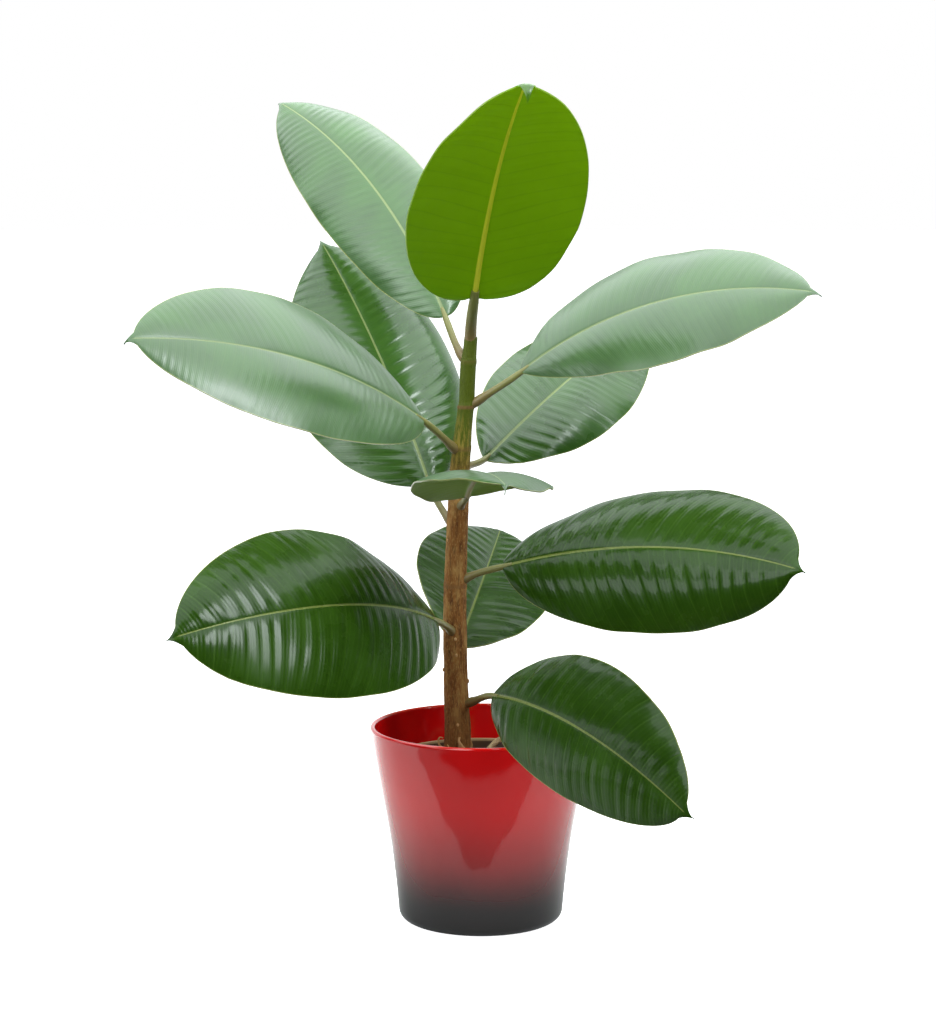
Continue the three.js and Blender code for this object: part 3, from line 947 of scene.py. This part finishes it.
@dataclass
class Stem:
    """Woody stem with leaf scars, knots and fissured bark. Sizes in millimetres."""

    foot: float = 72.0
    top: float = 500.0
    step: float = 2.6
    sides: int = 84
    ridge_depth: float = 0.55
    swell_depth: float = 0.35
    smooth_height: float = 430.0
    smooth_span: float = 90.0
    least_bark: float = 0.12
    small_knot: float = 1.8
    # height, x of the middle, radius
    line: list[tuple[float, float, float]] = field(
        default_factory=lambda: [
            (72, -20, 6), (90, -20, 10), (118, -20, 12.6), (136, -20, 12.4),
            (150, -20, 11.8), (172, -20, 10.9), (190, -21, 10.3), (233, -22, 10),
            (278, -22, 9.6), (320, -21, 9.2), (362, -19, 8.7), (388, -18, 8.5),
            (422, -15, 7.3), (447, -12, 6.5), (473, -11, 6.7), (494, -9, 5.6),
            (500, -8.5, 5.5),
        ]
    )
    # height of each leaf scar, how far it stands out, half its width
    scars: tuple[tuple[float, float, float], ...] = (
        (289, 0.4, 2.0), (406, 0.6, 2.0), (441, 0.9, 1.8), (479, 0.9, 1.6), (497, 0.4, 1.0),
    )
    # height, direction, size of each knot
    knots: tuple[tuple[float, float, float], ...] = (
        (144, 180, 3.0), (152, -80, 2.4), (170, -88, 1.5), (206, -5, 2.0),
        (216, 180, 1.7), (230, -84, 1.3), (244, -88, 1.3), (260, 150, 1.2),
        (298, 40, 1.3), (328, -150, 1.1), (203, 95, 1.6), (268, 60, 1.2),
        (190, 140, 1.5),
    )

    # middle line, radius and paleness of each dry shoot at the foot
    shoots: tuple[tuple[tuple[Point, ...], float, float], ...] = (
        (
            ((-29, -6, 147), (-33.6, -8, 150), (-36.0, -8, 154), (-35.0, -8, 158.5), (-32.4, -8, 158)),
            1.2,
            0.5,
        ),
        (((-30, -5, 145), (-34.0, -8, 147), (-37.0, -8, 149.0), (-38.6, -8, 152)), 1.0, 0.35),
        (((-15, -10.5, 149), (-16.6, -13.0, 152), (-18.6, -14.2, 156.5), (-18.0, -13.8, 160)), 1.9, 0.75),
        (((-24, -11.2, 148), (-26.5, -12.6, 150), (-28.6, -12.8, 153.5)), 0.8, 0.9),
        (((-12, -9.5, 146), (-9.0, -11.6, 149), (-7.6, -11.4, 153), (-8.4, -10.6, 156)), 0.9, 0.35),
        (((-27, -9.8, 141), (-29.6, -12.4, 142), (-31.8, -12.6, 145)), 1.1, 0.2),
    )

    def middle(self, height: float) -> Point:
        """Return the stem's middle at a height in millimetres, in metres."""
        heights, across, _ = zip(*self.line)
        return (float(np.interp(height, heights, across)) * MM, 0.0, height * MM)

    def radius(self, height: float) -> float:
        """Return the stem's radius at a height in millimetres, in metres."""
        heights, _, radii = zip(*self.line)
        wide = float(np.interp(height, heights, radii))
        for scar, proud, width in self.scars:
            wide += proud * math.exp(-(((height - scar) / width) ** 2))
        return wide * MM

    def trunk(self) -> Object:
        """Return the stem's body, raised ring by ring and roughened."""
        builder = RingBuilder(self.radius(self.foot), self.middle(self.foot), self.sides)
        height = self.foot + self.step
        while height < self.top - self.step / 2:
            builder.raise_to(self.radius(height), self.middle(height))
            height += self.step
        builder.raise_to(self.radius(self.top), self.middle(self.top))
        builder.raise_to(self.radius(self.top) * 0.6, self.middle(self.top))
        piece = builder.finished()
        self.roughen(piece)
        return piece

    def roughen(self, piece: Object) -> None:
        """Press bark fissures and scars into the trunk."""
        places = corners(piece)
        scar_share = np.zeros(len(places))
        for index, place in enumerate(places):
            height = place[2] / MM
            middle = Vector(self.middle(height))
            out = Vector(place) - middle
            out.z = 0.0
            if out.length < 1e-6:
                continue
            angle = math.atan2(out.y, out.x)
            bark = min(max((self.smooth_height - height) / self.smooth_span, self.least_bark), 1.0)
            spot = Vector((math.cos(angle) * 3.2, math.sin(angle) * 3.2, height * 0.018))
            ridge = noise.fractal(spot * 1.9, 0.6, 2.2, 4)
            swell = noise.noise(Vector((math.cos(angle), math.sin(angle), height * 0.02)))
            depth = (self.ridge_depth * bark * ridge + self.swell_depth * swell) * MM
            out.normalize()
            place += np.array(out) * depth
            rings = [math.exp(-(((height - scar) / (width * 0.8)) ** 2)) for scar, _, width in self.scars]
            scar_share[index] = max(rings)
        move_corners(piece, places)
        store(piece, "scar", scar_share)

    def knot(self, height: float, direction: float, size: float) -> Object:
        """Return one knot on the bark.

        Args:
            height: above the floor, in millimetres.
            direction: compass direction in degrees.
            size: radius in millimetres.

        Returns:
            The knot, slightly taller than wide.
        """
        angle = math.radians(direction)
        x, y, z = self.middle(height)
        reach = self.radius(height) - 0.2 * size * MM
        spot = (x + reach * math.cos(angle), y + reach * math.sin(angle), z)
        deselect()
        bpy.ops.mesh.primitive_ico_sphere_add(
            subdivisions=3, radius=size * MM, location=spot, scale=(0.85, 0.85, 1.2)
        )
        lump = bpy.context.object
        settle(lump)
        crumple(lump, size * MM * 0.28, 420)
        pale = 0.85 if size < self.small_knot else 0.35
        store(lump, "pale", np.full(len(lump.data.vertices), pale))
        return lump

    def fray(self) -> list[Object]:
        """Return the dry shoots and torn fibres at the stem's foot."""
        pieces = []
        for index, (path, thick, pale) in enumerate(self.shoots):
            points = [Vector(point) * MM for point in path]
            radii = [thick * MM * (1.0 - 0.62 * step / (len(path) - 1)) for step in range(len(path))]
            shoot = tube(points, radii, 12, f"shoot_{index}")
            crumple(shoot, 0.25 * thick * MM, 520)
            store(shoot, "pale", np.full(len(shoot.data.vertices), pale))
            pieces.append(shoot)
        return pieces

    def build(self) -> Object:
        """Return the dressed stem."""
        lumps = [self.knot(*knot) for knot in self.knots]
        piece = join([self.trunk(), *lumps, *self.fray()], "woody_stem")
        smooth(piece, 70)
        dress(piece, BarkFinish().material())
        register(piece, "stem")
        return piece


@dataclass
class SurfaceRoot:
    """Dry root that arches over the soil. Sizes in millimetres."""

    radius: float = 2.8
    unevenness: float = 0.12
    path: tuple[Point, ...] = (
        (-2, 2, 117), (4, 8, 138), (14, 15, 150), (28, 22, 154), (42, 27, 146), (50, 29, 130),
        (52, 30, 115),
    )

    def build(self) -> Object:
        """Return the dressed root."""
        swells = [self.unevenness * math.sin(2.1 * index) for index in range(len(self.path))]
        thick = [self.radius * (1.0 + swell) for swell in swells]
        points = [Vector(point) * MM for point in self.path]
        piece = tube(points, [value * MM for value in thick], 24, "surface_root_skin")
        crumple(piece, 0.5 * MM, 260)
        smooth(piece, 70)
        dress(piece, DryRootFinish().material())
        register(piece, "surface_root")
        return piece


def tube(points: list[Vector], radii: list[float], sides: int, name: str) -> Object:
    """Return a closed tube of changing thickness through points.

    Args:
        points: the tube's middle line, in metres.
        radii: its radius at each point.
        sides: corners round the tube.
        name: the object's name.

    Returns:
        The tube as a mesh.
    """
    deselect()
    bpy.ops.curve.primitive_nurbs_path_add(location=(0, 0, 0))
    piece = bpy.context.object
    piece.name = name
    line = piece.data
    line.splines.clear()
    spline = line.splines.new("BEZIER")
    spline.bezier_points.add(len(points) - 1)
    for knot, place, radius in zip(spline.bezier_points, points, radii):
        knot.co = place
        knot.handle_left_type = knot.handle_right_type = "AUTO"
        knot.radius = radius / MM
    line.dimensions = "3D"
    line.resolution_u = 10
    line.bevel_depth = MM
    line.bevel_resolution = max(sides // 4 - 1, 1)
    line.use_fill_caps = True
    bpy.ops.object.convert(target="MESH")
    piece = bpy.context.object
    bpy.ops.object.mode_set(mode="EDIT")
    bpy.ops.mesh.select_all(action="SELECT")
    bpy.ops.mesh.remove_doubles(threshold=1e-6)
    bpy.ops.mesh.normals_make_consistent(inside=False)
    bpy.ops.object.mode_set(mode="OBJECT")
    settle(piece)
    return piece


# ------------------------------------------------------------------ leaves


class LeafAge(Enum):
    """How a leaf's green looks, by its place on the stem."""

    OLD = "old"
    SHINY = "shiny"
    GROWN = "grown"
    YOUNG = "young"


@dataclass
class Leaf:
    """One leaf: stalk, rib, veined blade and drip tip. Lengths in millimetres.

    heading is the compass direction of the rib (0 is +X, 90 is +Y), rise its
    slope at the base and droop how far it bends down by the tip. swing turns the
    rib sideways along its length, roll and twist turn the blade about it, fold
    lifts both halves and the curls bend each half down again. bulk moves the
    widest place, fullness rounds the outline and hook curls the drip tip under.
    stalk_turn turns the way the stalk leaves the stem off the straight line,
    stalk_lift is how steeply it rises there, and it runs on under the rib for
    stalk_run, stalk_drop below it. vein_step and vein_depth space and press in
    the side veins, swell billows the blade between them and wave ripples its
    margin. tip is the drip tip's length, tip_half its half width and tip_power
    how quickly it narrows. crowding packs the grid's columns towards the rib,
    and lift raises the upper side off the middle of the blade.
    """

    node: str
    joint: float
    base: Point
    heading: float
    rise: float
    droop: float
    swing: float
    roll: float
    twist: float
    length: float
    width: float
    fold: float
    curl_left: float
    curl_right: float
    bulk: float
    fullness: float
    hook: float = 38.0
    stalk_turn: float = 0.0
    stalk_lift: float = 0.75
    stalk_radius: float = 3.15
    stalk_run: float = 9.0
    stalk_drop: float = 1.1
    age: LeafAge = LeafAge.GROWN
    vein_step: float = 14.0
    vein_depth: float = 0.85
    swell: float = 0.6
    wave: float = 1.0
    thickness: float = 1.1
    lift: float = 0.45
    tip: float = 11.0
    tip_half: float = 0.8
    tip_power: float = 1.6
    crowding: float = 1.55
    rows: int = 200
    columns: int = 48
    seed: int = 1

    def frame(self, share: np.ndarray) -> tuple[np.ndarray, np.ndarray, np.ndarray]:
        """Return the rib's direction, the blade's left side and its normal.

        Args:
            share: places along the rib, 0 at the base and 1 at the blade's end.

        Returns:
            Three arrays of unit vectors, one row for each place.
        """
        slope = np.radians(self.rise - self.droop * share)
        heading = np.radians(self.heading + self.swing * share)
        roll = np.radians(self.roll + self.twist * share)[:, None]
        level_part = np.cos(slope)
        along = np.stack([level_part * np.cos(heading), level_part * np.sin(heading), np.sin(slope)], 1)
        level = np.stack([-np.sin(heading), np.cos(heading), np.zeros_like(heading)], 1)
        above = np.cross(along, level)
        across = level * np.cos(roll) + above * np.sin(roll)
        normal = above * np.cos(roll) - level * np.sin(roll)
        return along, across, normal

    def rib_line(self, share: np.ndarray) -> np.ndarray:
        """Return the rib's points, in millimetres, at places along it."""
        fine = np.linspace(0.0, 1.05, 422)
        along = self.frame((fine[1:] + fine[:-1]) / 2)[0]
        steps = along * np.diff(fine)[:, None] * self.length
        line = np.vstack([np.zeros(3), np.cumsum(steps, 0)]) + np.array(self.base)
        return np.stack([np.interp(share, fine, line[:, axis]) for axis in range(3)], 1)

    def half_width(self, share: np.ndarray) -> np.ndarray:
        """Return the blade's half width at places along the rib."""
        place = np.clip(share, 0, 1) ** self.bulk
        return self.width / 2 * np.clip(4 * place * (1 - place), 0, None) ** self.fullness

    def section(self, part: np.ndarray, curl: float) -> tuple[np.ndarray, np.ndarray]:
        """Return how far a half of the blade reaches across and up.

        Args:
            part: places across the half, 0 at the rib and 1 at the margin.
            curl: how far the half bends down, in degrees.

        Returns:
            Reach across and up, as shares of the half width.
        """
        steps = 12
        middle = (np.arange(steps) + 0.5) / steps
        angle = np.radians(self.fold - curl * part[:, None] * middle[None, :])
        return np.cos(angle).mean(1) * part, np.sin(angle).mean(1) * part

    def rows_along(self) -> tuple[np.ndarray, np.ndarray]:
        """Return each row's place along the rib and its share of the drip tip."""
        start, end = 0.0015, 0.994
        tip_rows = 14
        ease = 0.35
        even = np.linspace(0, 1, self.rows + 1 - tip_rows)
        eased = ease * (0.5 - 0.5 * np.cos(np.pi * even)) + (1 - ease) * even
        body = start + (end - start) * eased
        beyond = np.linspace(0, 1, tip_rows + 1)[1:]
        place = np.concatenate([body, np.full(tip_rows, end)])
        return place, np.concatenate([np.zeros_like(body), beyond])

    def blade(self, top: Material, under: Material) -> Object:
        """Return the blade, shaped from a flat grid and given its thickness.

        Args:
            top: finish of the upper side.
            under: finish of the underside.

        Returns:
            The blade with both finishes.
        """
        deselect()
        bpy.ops.mesh.primitive_grid_add(x_subdivisions=self.columns, y_subdivisions=self.rows, size=1.0)
        piece = bpy.context.object
        flat = corners(piece)
        column = np.rint((flat[:, 0] + 0.5) * self.columns).astype(int)
        row = np.rint((flat[:, 1] + 0.5) * self.rows).astype(int)
        even = (column - self.columns / 2) / (self.columns / 2)
        part = np.sign(even) * np.abs(even) ** self.crowding
        place, beyond = self.rows_along()
        share, tip = place[row], beyond[row]
        along, across, normal = self.frame(share)
        half = self.half_width(share)
        narrow = np.maximum(half * (1 - tip) ** self.tip_power, self.tip_half * (1 - 0.75 * tip))
        left = part <= 0
        reach = np.empty_like(part)
        lift = np.empty_like(part)
        for side, curl in ((left, self.curl_left), (~left, self.curl_right)):
            reach[side], lift[side] = self.section(np.abs(part[side]), curl)
        sign = np.where(left, 1.0, -1.0)
        middle = self.rib_line(share)
        bend = np.radians(self.hook) * tip
        run = self.tip * tip
        onward, downward = run * np.cos(bend / 2), run * np.sin(bend / 2)
        middle = middle + along * onward[:, None] - normal * downward[:, None]
        up = normal * np.cos(bend)[:, None] + along * np.sin(bend)[:, None]
        surface = middle + across * (sign * narrow * reach)[:, None] + up * (narrow * lift)[:, None]
        relief = self.relief(share, tip, part, narrow)
        places = surface + up * (relief + self.lift)[:, None]
        move_corners(piece, places * MM)
        dress(piece, top, under)
        wall = self.thickness * MM
        apply_modifier(
            piece, "SOLIDIFY", thickness=wall, offset=-1.0, material_offset=1, material_offset_rim=0
        )
        self.underside(piece, share, tip, part, narrow, up)
        return piece

    def vein_phase(self, share: np.ndarray, part: np.ndarray, half: np.ndarray) -> np.ndarray:
        """Return which vein each corner is at, in steps between veins."""
        along = share * self.length
        out = np.abs(part) * half
        slant = out * 0.26 + out**2 * 0.0021
        drift = 2.6 * np.sin(along * 0.043 + self.seed) + 1.5 * np.sin(along * 0.107 + 2.3 * self.seed)
        side = np.where(part > 0, 0.45 + 0.3 * np.sin(along * 0.03 + self.seed), 0.0)
        return (along - slant + drift) / self.vein_step + side

    def relief(self, share: np.ndarray, tip: np.ndarray, part: np.ndarray, half: np.ndarray) -> np.ndarray:
        """Return how far the veins, rib and waves lift each corner of the upper side."""
        phase = self.vein_phase(share, part, half)
        out = np.abs(part) * half
        body = np.clip((out - 1.5) / 9, 0, 1) * np.clip((1 - np.abs(part)) / 0.14, 0, 1) ** 0.7
        ends = np.clip(share / 0.06, 0, 1) * np.clip((1 - share) / 0.08, 0, 1) * (1 - tip)
        along = share * self.length
        patches = np.sin(phase * 2.4 + self.seed) * np.cos(along * 0.021 - out * 0.05 + self.seed)
        uneven = 0.62 + 0.38 * patches
        pillow = np.abs(np.sin(phase * math.pi)) ** 0.85 - 0.6
        fine = 0.05 * np.sin(phase * 4 * math.tau) + 0.10 * np.sin(phase * 2 * math.tau + 1.3 + out * 0.04)
        veins = self.vein_depth * (pillow + fine) * body * ends * uneven
        billow = np.sin(along * 0.035 + part * 2.2 + self.seed * 1.3)
        swell = self.swell * billow * np.sin(np.abs(part) * math.pi) * ends
        rib = 0.55 * np.exp(-((out / 1.6) ** 2)) * (1 - tip) * np.clip(1.2 - share, 0.2, 1)
        margin = np.abs(part) ** 3
        ripple = np.sin(share * 21 + self.seed * 2.1 + part * 1.5) + 0.6 * np.sin(share * 37 + self.seed)
        waves = self.wave * 0.8 * margin * ripple * np.clip(half / 30, 0, 1) * (1 - tip)
        return veins + swell - rib * 0.6 + waves

    def underside(
        self,
        piece: Object,
        share: np.ndarray,
        tip: np.ndarray,
        part: np.ndarray,
        half: np.ndarray,
        up: np.ndarray,
    ) -> None:
        """Raise the rib under the blade and store what its finish reads.

        Args:
            piece: the thickened blade, whose second half of corners lies below.
            share: places along the rib of the upper corners.
            tip: their shares of the drip tip.
            part: their places across, -1 to 1.
            half: half width at each.
            up: the blade's normal at each.
        """
        out = np.abs(part) * half
        taper = np.clip(1.05 - share, 0, 1)
        rib_half = 0.7 + 1.9 * taper * (1 - tip)
        crown = np.clip(1 - (out / rib_half) ** 2, 0, 1) ** 0.8
        depth = (0.25 + 2.0 * taper) * (1 - tip) * crown
        places = corners(piece)
        count = len(part)
        places[count:] -= up * (depth * MM)[:, None]
        move_corners(piece, places)
        readings = {
            "rib": out / (0.5 + 0.9 * np.clip(1.0 - share, 0, 1)) + 4 * tip,
            "edge": half - out + 4 * tip,
            "vein": self.vein_phase(share, part, half),
        }
        for name, values in readings.items():
            store(piece, name, np.concatenate([values, values]))

    def stalk(self, stem: Stem) -> Object:
        """Return the stalk, curved from the stem to the blade's base.

        Args:
            stem: the stem that it grows from.

        Returns:
            The stalk as a closed tube.
        """
        along, _, normal = self.frame(np.array([0.0]))
        base = Vector(self.base)
        start = Vector(stem.middle(min(self.joint, stem.top - 6))) / MM
        end = base + Vector(along[0]) * self.stalk_run - Vector(normal[0]) * self.stalk_drop
        reach = (base - start).length
        outward = base - start
        outward.z = 0.0
        outward.normalize()
        outward.rotate(Matrix.Rotation(math.radians(self.stalk_turn), 3, "Z"))
        lean = 0.12 if self.joint >= stem.top else 1.0
        leave = (outward * lean + Vector((0, 0, self.stalk_lift))).normalized()
        first = start + leave * reach * 0.42
        last = base - Vector(along[0]) * reach * 0.34
        steps = 12
        points = []
        radii = []
        for step in range(steps + 1):
            t = step / steps
            rest = 1 - t
            place = start * rest**3 + first * 3 * t * rest**2 + last * 3 * t**2 * rest + end * t**3
            points.append(place * MM)
            flare = 1.1 * math.exp(-(((t - 0.2) / 0.12) ** 2)) if self.joint < stem.top else 0.6 * (1 - t)
            radii.append((self.stalk_radius + flare - 0.35 * t - 4.0 * max(t - 0.8, 0)) * MM)
        piece = tube(points, radii, 20, "stalk")
        places = corners(piece)
        low = np.array(points[0])
        span = np.linalg.norm(np.array(points[-1]) - low)
        store(piece, "reach", np.linalg.norm(places - low, axis=1) / span)
        return piece

    def build(
        self, stem: Stem, finishes: dict[LeafAge, tuple[Material, Material]], stalk_skin: Material
    ) -> Object:
        """Return the dressed leaf.

        Args:
            stem: the stem that it grows from.
            finishes: upper and lower skins by age.
            stalk_skin: the stalk's finish.

        Returns:
            The leaf as one piece.
        """
        blade = self.blade(*finishes[self.age])
        stalk = self.stalk(stem)
        dress(stalk, stalk_skin)
        piece = join([blade, stalk], f"rubber_{self.node}")
        smooth(piece, 70)
        register(piece, self.node)
        return piece


@dataclass
class Foliage:
    """All the leaves, from the lowest to the top."""

    leaves: list[Leaf] = field(
        default_factory=lambda: [
            Leaf(
                "leaf_01_low_right",
                joint=184, base=(10, -52, 204),
                heading=-63, rise=7, droop=35, swing=14, roll=55, twist=26,
                length=265, width=114, fold=11, curl_left=31, curl_right=41, bulk=1.06, fullness=0.55,
                stalk_turn=46, stalk_lift=0.3, age=LeafAge.OLD, swell=0.9, seed=1,
            ),
            Leaf(
                "leaf_02_low_back",
                joint=233, base=(-20, 24, 231),
                heading=79, rise=19, droop=8, swing=4, roll=26, twist=-8,
                length=262, width=130, fold=16, curl_left=22, curl_right=25, bulk=1.12, fullness=0.68,
                tip=9.0, age=LeafAge.OLD, swell=0.9, seed=2,
            ),
            Leaf(
                "leaf_03_low_left",
                joint=245, base=(-37, -38, 265),
                heading=247, rise=21, droop=33, swing=-40, roll=-59, twist=-3,
                length=295, width=153, fold=7, curl_left=25, curl_right=39, bulk=0.98, fullness=0.57,
                vein_depth=1.15, age=LeafAge.OLD, swell=1.1, seed=3,
            ),
            Leaf(
                "leaf_04_mid_right",
                joint=289, base=(18, -13, 307),
                heading=-18, rise=17, droop=27, swing=-18, roll=48, twist=14,
                length=264.5, width=149, fold=4, curl_left=49, curl_right=56, bulk=1.02, fullness=0.52,
                age=LeafAge.OLD, swell=0.9, seed=4,
            ),
            Leaf(
                "leaf_05_back_left",
                joint=335, base=(-44, 33, 371),
                heading=124, rise=57, droop=16, swing=0, roll=-19, twist=-16,
                length=268, width=174, fold=3, curl_left=34, curl_right=72, bulk=0.91, fullness=0.65,
                age=LeafAge.SHINY, vein_step=10, vein_depth=1.25, swell=1.2, seed=5,
            ),
            Leaf(
                "leaf_06_mid_front",
                joint=353, base=(-12, -26, 368),
                heading=-85, rise=22, droop=26, swing=4, roll=12, twist=-22,
                length=238, width=117, fold=11, curl_left=45, curl_right=38, bulk=0.97, fullness=0.7,
                hook=70, vein_step=9, vein_depth=0.5, seed=6,
            ),
            Leaf(
                "leaf_07_back_right",
                joint=385, base=(3, 29, 393),
                heading=54, rise=28, droop=9, swing=-2, roll=38, twist=-12,
                length=264, width=120, fold=8, curl_left=34, curl_right=35, bulk=1.08, fullness=0.72,
                age=LeafAge.SHINY, vein_step=10, vein_depth=0.95, swell=2.2, seed=7,
            ),
            Leaf(
                "leaf_08_upper_left",
                joint=400, base=(-48, -31, 433),
                heading=222, rise=32, droop=32, swing=-16, roll=-44, twist=-6,
                length=282, width=146, fold=9, curl_left=30, curl_right=28, bulk=0.91, fullness=0.64,
                hook=88, tip=10.5, vein_step=7.5, vein_depth=0.5, swell=0.35, wave=0.5, seed=8,
            ),
            Leaf(
                "leaf_09_upper_right",
                joint=439, base=(33, -6, 471),
                heading=-8, rise=39, droop=46, swing=-8, roll=42, twist=-4,
                length=259, width=138, fold=9, curl_left=33, curl_right=32, bulk=1.08, fullness=0.7,
                vein_step=7.5, vein_depth=0.45, seed=9,
            ),
            Leaf(
                "leaf_10_top_left",
                joint=477, base=(-30, 19, 516),
                heading=135, rise=60, droop=40, swing=-4, roll=-36, twist=-3,
                length=290, width=114, fold=2, curl_left=39, curl_right=47, bulk=0.98, fullness=0.57,
                vein_step=8, vein_depth=0.95, seed=10,
            ),
            Leaf(
                "leaf_11_top",
                joint=500, base=(-6, -27, 533),
                heading=-76, rise=62, droop=30, swing=0, roll=-2, twist=0,
                length=236, width=154, fold=6, curl_left=27, curl_right=46, bulk=0.82, fullness=0.54,
                hook=168, stalk_radius=4.5, tip=17, tip_power=0.9, age=LeafAge.YOUNG, seed=11,
            ),
        ]
    )

    def tops(self) -> dict[LeafAge, LeafTopFinish]:
        """Return the upper side's finish for each age."""
        return {
            LeafAge.OLD: LeafTopFinish(
                "old leaf top",
                green=(0.015, 0.044, 0.0022),
                fresh=(0.024, 0.066, 0.0036),
                rib=(0.155, 0.19, 0.040),
                roughness=0.26,
                glow=0.07,
                coat=0.2,
                coat_roughness=0.08,
                gloss=0.16,
            ),
            LeafAge.SHINY: LeafTopFinish(
                "shiny leaf top",
                green=(0.018, 0.062, 0.006),
                fresh=(0.028, 0.090, 0.009),
                rib=(0.20, 0.25, 0.09),
                roughness=0.28,
                coat=0.5,
                coat_roughness=0.16,
                gloss=0.36,
            ),
            LeafAge.GROWN: LeafTopFinish(
                "grown leaf top",
                green=(0.024, 0.076, 0.012),
                fresh=(0.034, 0.104, 0.016),
                rib=(0.20, 0.25, 0.110),
                coat=0.78,
            ),
            LeafAge.YOUNG: LeafTopFinish(
                "young leaf top",
                green=(0.024, 0.075, 0.004),
                fresh=(0.036, 0.10, 0.006),
                glow=0.4,
                through=(0.65, 0.95, 0.03),
            ),
        }

    def unders(self) -> dict[LeafAge, LeafUnderFinish]:
        """Return the underside's finish for each age."""
        young = LeafUnderFinish(
            "young leaf under",
            green=(0.065, 0.16, 0.002),
            fresh=(0.085, 0.19, 0.003),
            vein=(0.095, 0.20, 0.004),
            rib=(0.62, 0.54, 0.06),
            margin=(0.12, 0.17, 0.02),
            gloss=0.12,
            glow=0.22,
            through=(0.62, 0.86, 0.002),
            rib_through=(1.0, 0.88, 0.04),
        )
        others = (LeafAge.OLD, LeafAge.SHINY, LeafAge.GROWN)
        unders = {age: LeafUnderFinish(f"{age.value} leaf under") for age in others}
        return {**unders, LeafAge.YOUNG: young}

    def build(self, stem: Stem) -> list[Object]:
        """Return every leaf, dressed and placed round the stem."""
        unders = self.unders()
        finishes = {age: (top.material(), unders[age].material()) for age, top in self.tops().items()}
        stalk_skin = StalkFinish().material()
        return [leaf.build(stem, finishes, stalk_skin) for leaf in self.leaves]


# ------------------------------------------------------------------ studio


@dataclass
class Studio:
    """Pale floor, soft lights, the dim room round them and the camera."""

    eye: Point = (-0.011, -2.2, 0.632)
    tilt_down: float = 7.26
    lens: float = 91.9
    sensor: float = 36.0
    view_far: float = 100.0
    floor_size: float = 60.0
    tint: Colour = (0.91, 0.98, 0.99)
    ceiling_middle: Point = (-0.1, 0.0, 0.93)
    ceiling_size: Pair = (1.5, 1.15)
    ceiling_power: float = 17.5
    front_place: Point = (-1.1, -1.75, 1.3)
    front_aim: Point = (0.0, 0.0, 0.22)
    front_size: Pair = (1.6, 1.2)
    front_power: float = 29.0
    # compass direction from +Y towards +X, elevation, inner and outer radius, brightness
    patches: tuple[tuple[float, float, float, float, float], ...] = (
        (-81, 3, 8, 18, 1.6),
        (122, 40, 6, 13, 17.0),
    )
    room_glow: float = 0.035
    # part of a direction that points back, and up, over which each light fades
    back_span: Pair = (0.35, 0.8)
    upper_span: Pair = (0.40, 0.60)
    back_glow: float = 1.0
    upper_share: float = 0.1

    def floor(self) -> Object:
        """Return the floor, which is not part of the plant."""
        deselect()
        bpy.ops.mesh.primitive_plane_add(size=self.floor_size, location=(0, 0, 0))
        piece = bpy.context.object
        piece.name = "studio_floor"
        dress(piece, FloorFinish().material())
        return piece

    def sky(self) -> None:
        """Fill the dim room with the light of its back wall and two bright patches."""
        board = WorldBoard("studio")
        ray = board.direction()
        back = board.fade(board.axis(ray, "Y"), *self.back_span, 0.0, self.back_glow)
        low = board.fade(board.axis(ray, "Z"), *self.upper_span, 1.0, self.upper_share)
        light = board.maths("ADD", board.maths("MULTIPLY", back, low), self.room_glow)
        for patch in self.patches:
            light = board.maths("ADD", light, board.spot(ray, *patch))
        board.finish_world(light, self.tint)

    def panel(self, name: str, place: Point, aim: Point, size: Pair, power: float) -> None:
        """Hang one soft rectangular light.

        Args:
            name: the light's name.
            place: where its middle hangs.
            aim: the point that it faces.
            size: its width and height.
            power: in watts.
        """
        deselect()
        bpy.ops.object.light_add(type="AREA", location=place)
        lamp = bpy.context.object
        lamp.name = name
        lamp.data.shape = "RECTANGLE"
        lamp.data.size, lamp.data.size_y = size
        lamp.data.energy = power
        lamp.data.color = self.tint
        lamp.rotation_euler = (Vector(aim) - Vector(place)).to_track_quat("-Z", "Y").to_euler()

    def camera(self) -> None:
        """Add the camera at the viewer's eye."""
        deselect()
        turn = (math.radians(90 - self.tilt_down), 0.0, 0.0)
        bpy.ops.object.camera_add(location=self.eye, rotation=turn)
        camera = bpy.context.object
        camera.name = "viewer"
        camera.data.lens = self.lens
        camera.data.sensor_width = self.sensor
        camera.data.clip_end = self.view_far
        bpy.context.scene.camera = camera

    def build(self) -> None:
        """Set up the whole studio."""
        self.floor()
        self.sky()
        below = (self.ceiling_middle[0], self.ceiling_middle[1], 0.0)
        self.panel("ceiling", self.ceiling_middle, below, self.ceiling_size, self.ceiling_power)
        self.panel("front", self.front_place, self.front_aim, self.front_size, self.front_power)
        self.camera()
        bpy.context.scene.view_settings.view_transform = "Standard"


def main() -> None:
    """Build the plant piece by piece."""
    logging.basicConfig(level=logging.INFO, format="%(name)s: %(message)s")
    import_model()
    Planter().build()
    NurseryPot().build()
    PottingSoil().build()
    stem = Stem()
    stem.build()
    SurfaceRoot().build()
    Foliage().build(stem)
    Studio().build()


if __name__ == "__main__":
    main()
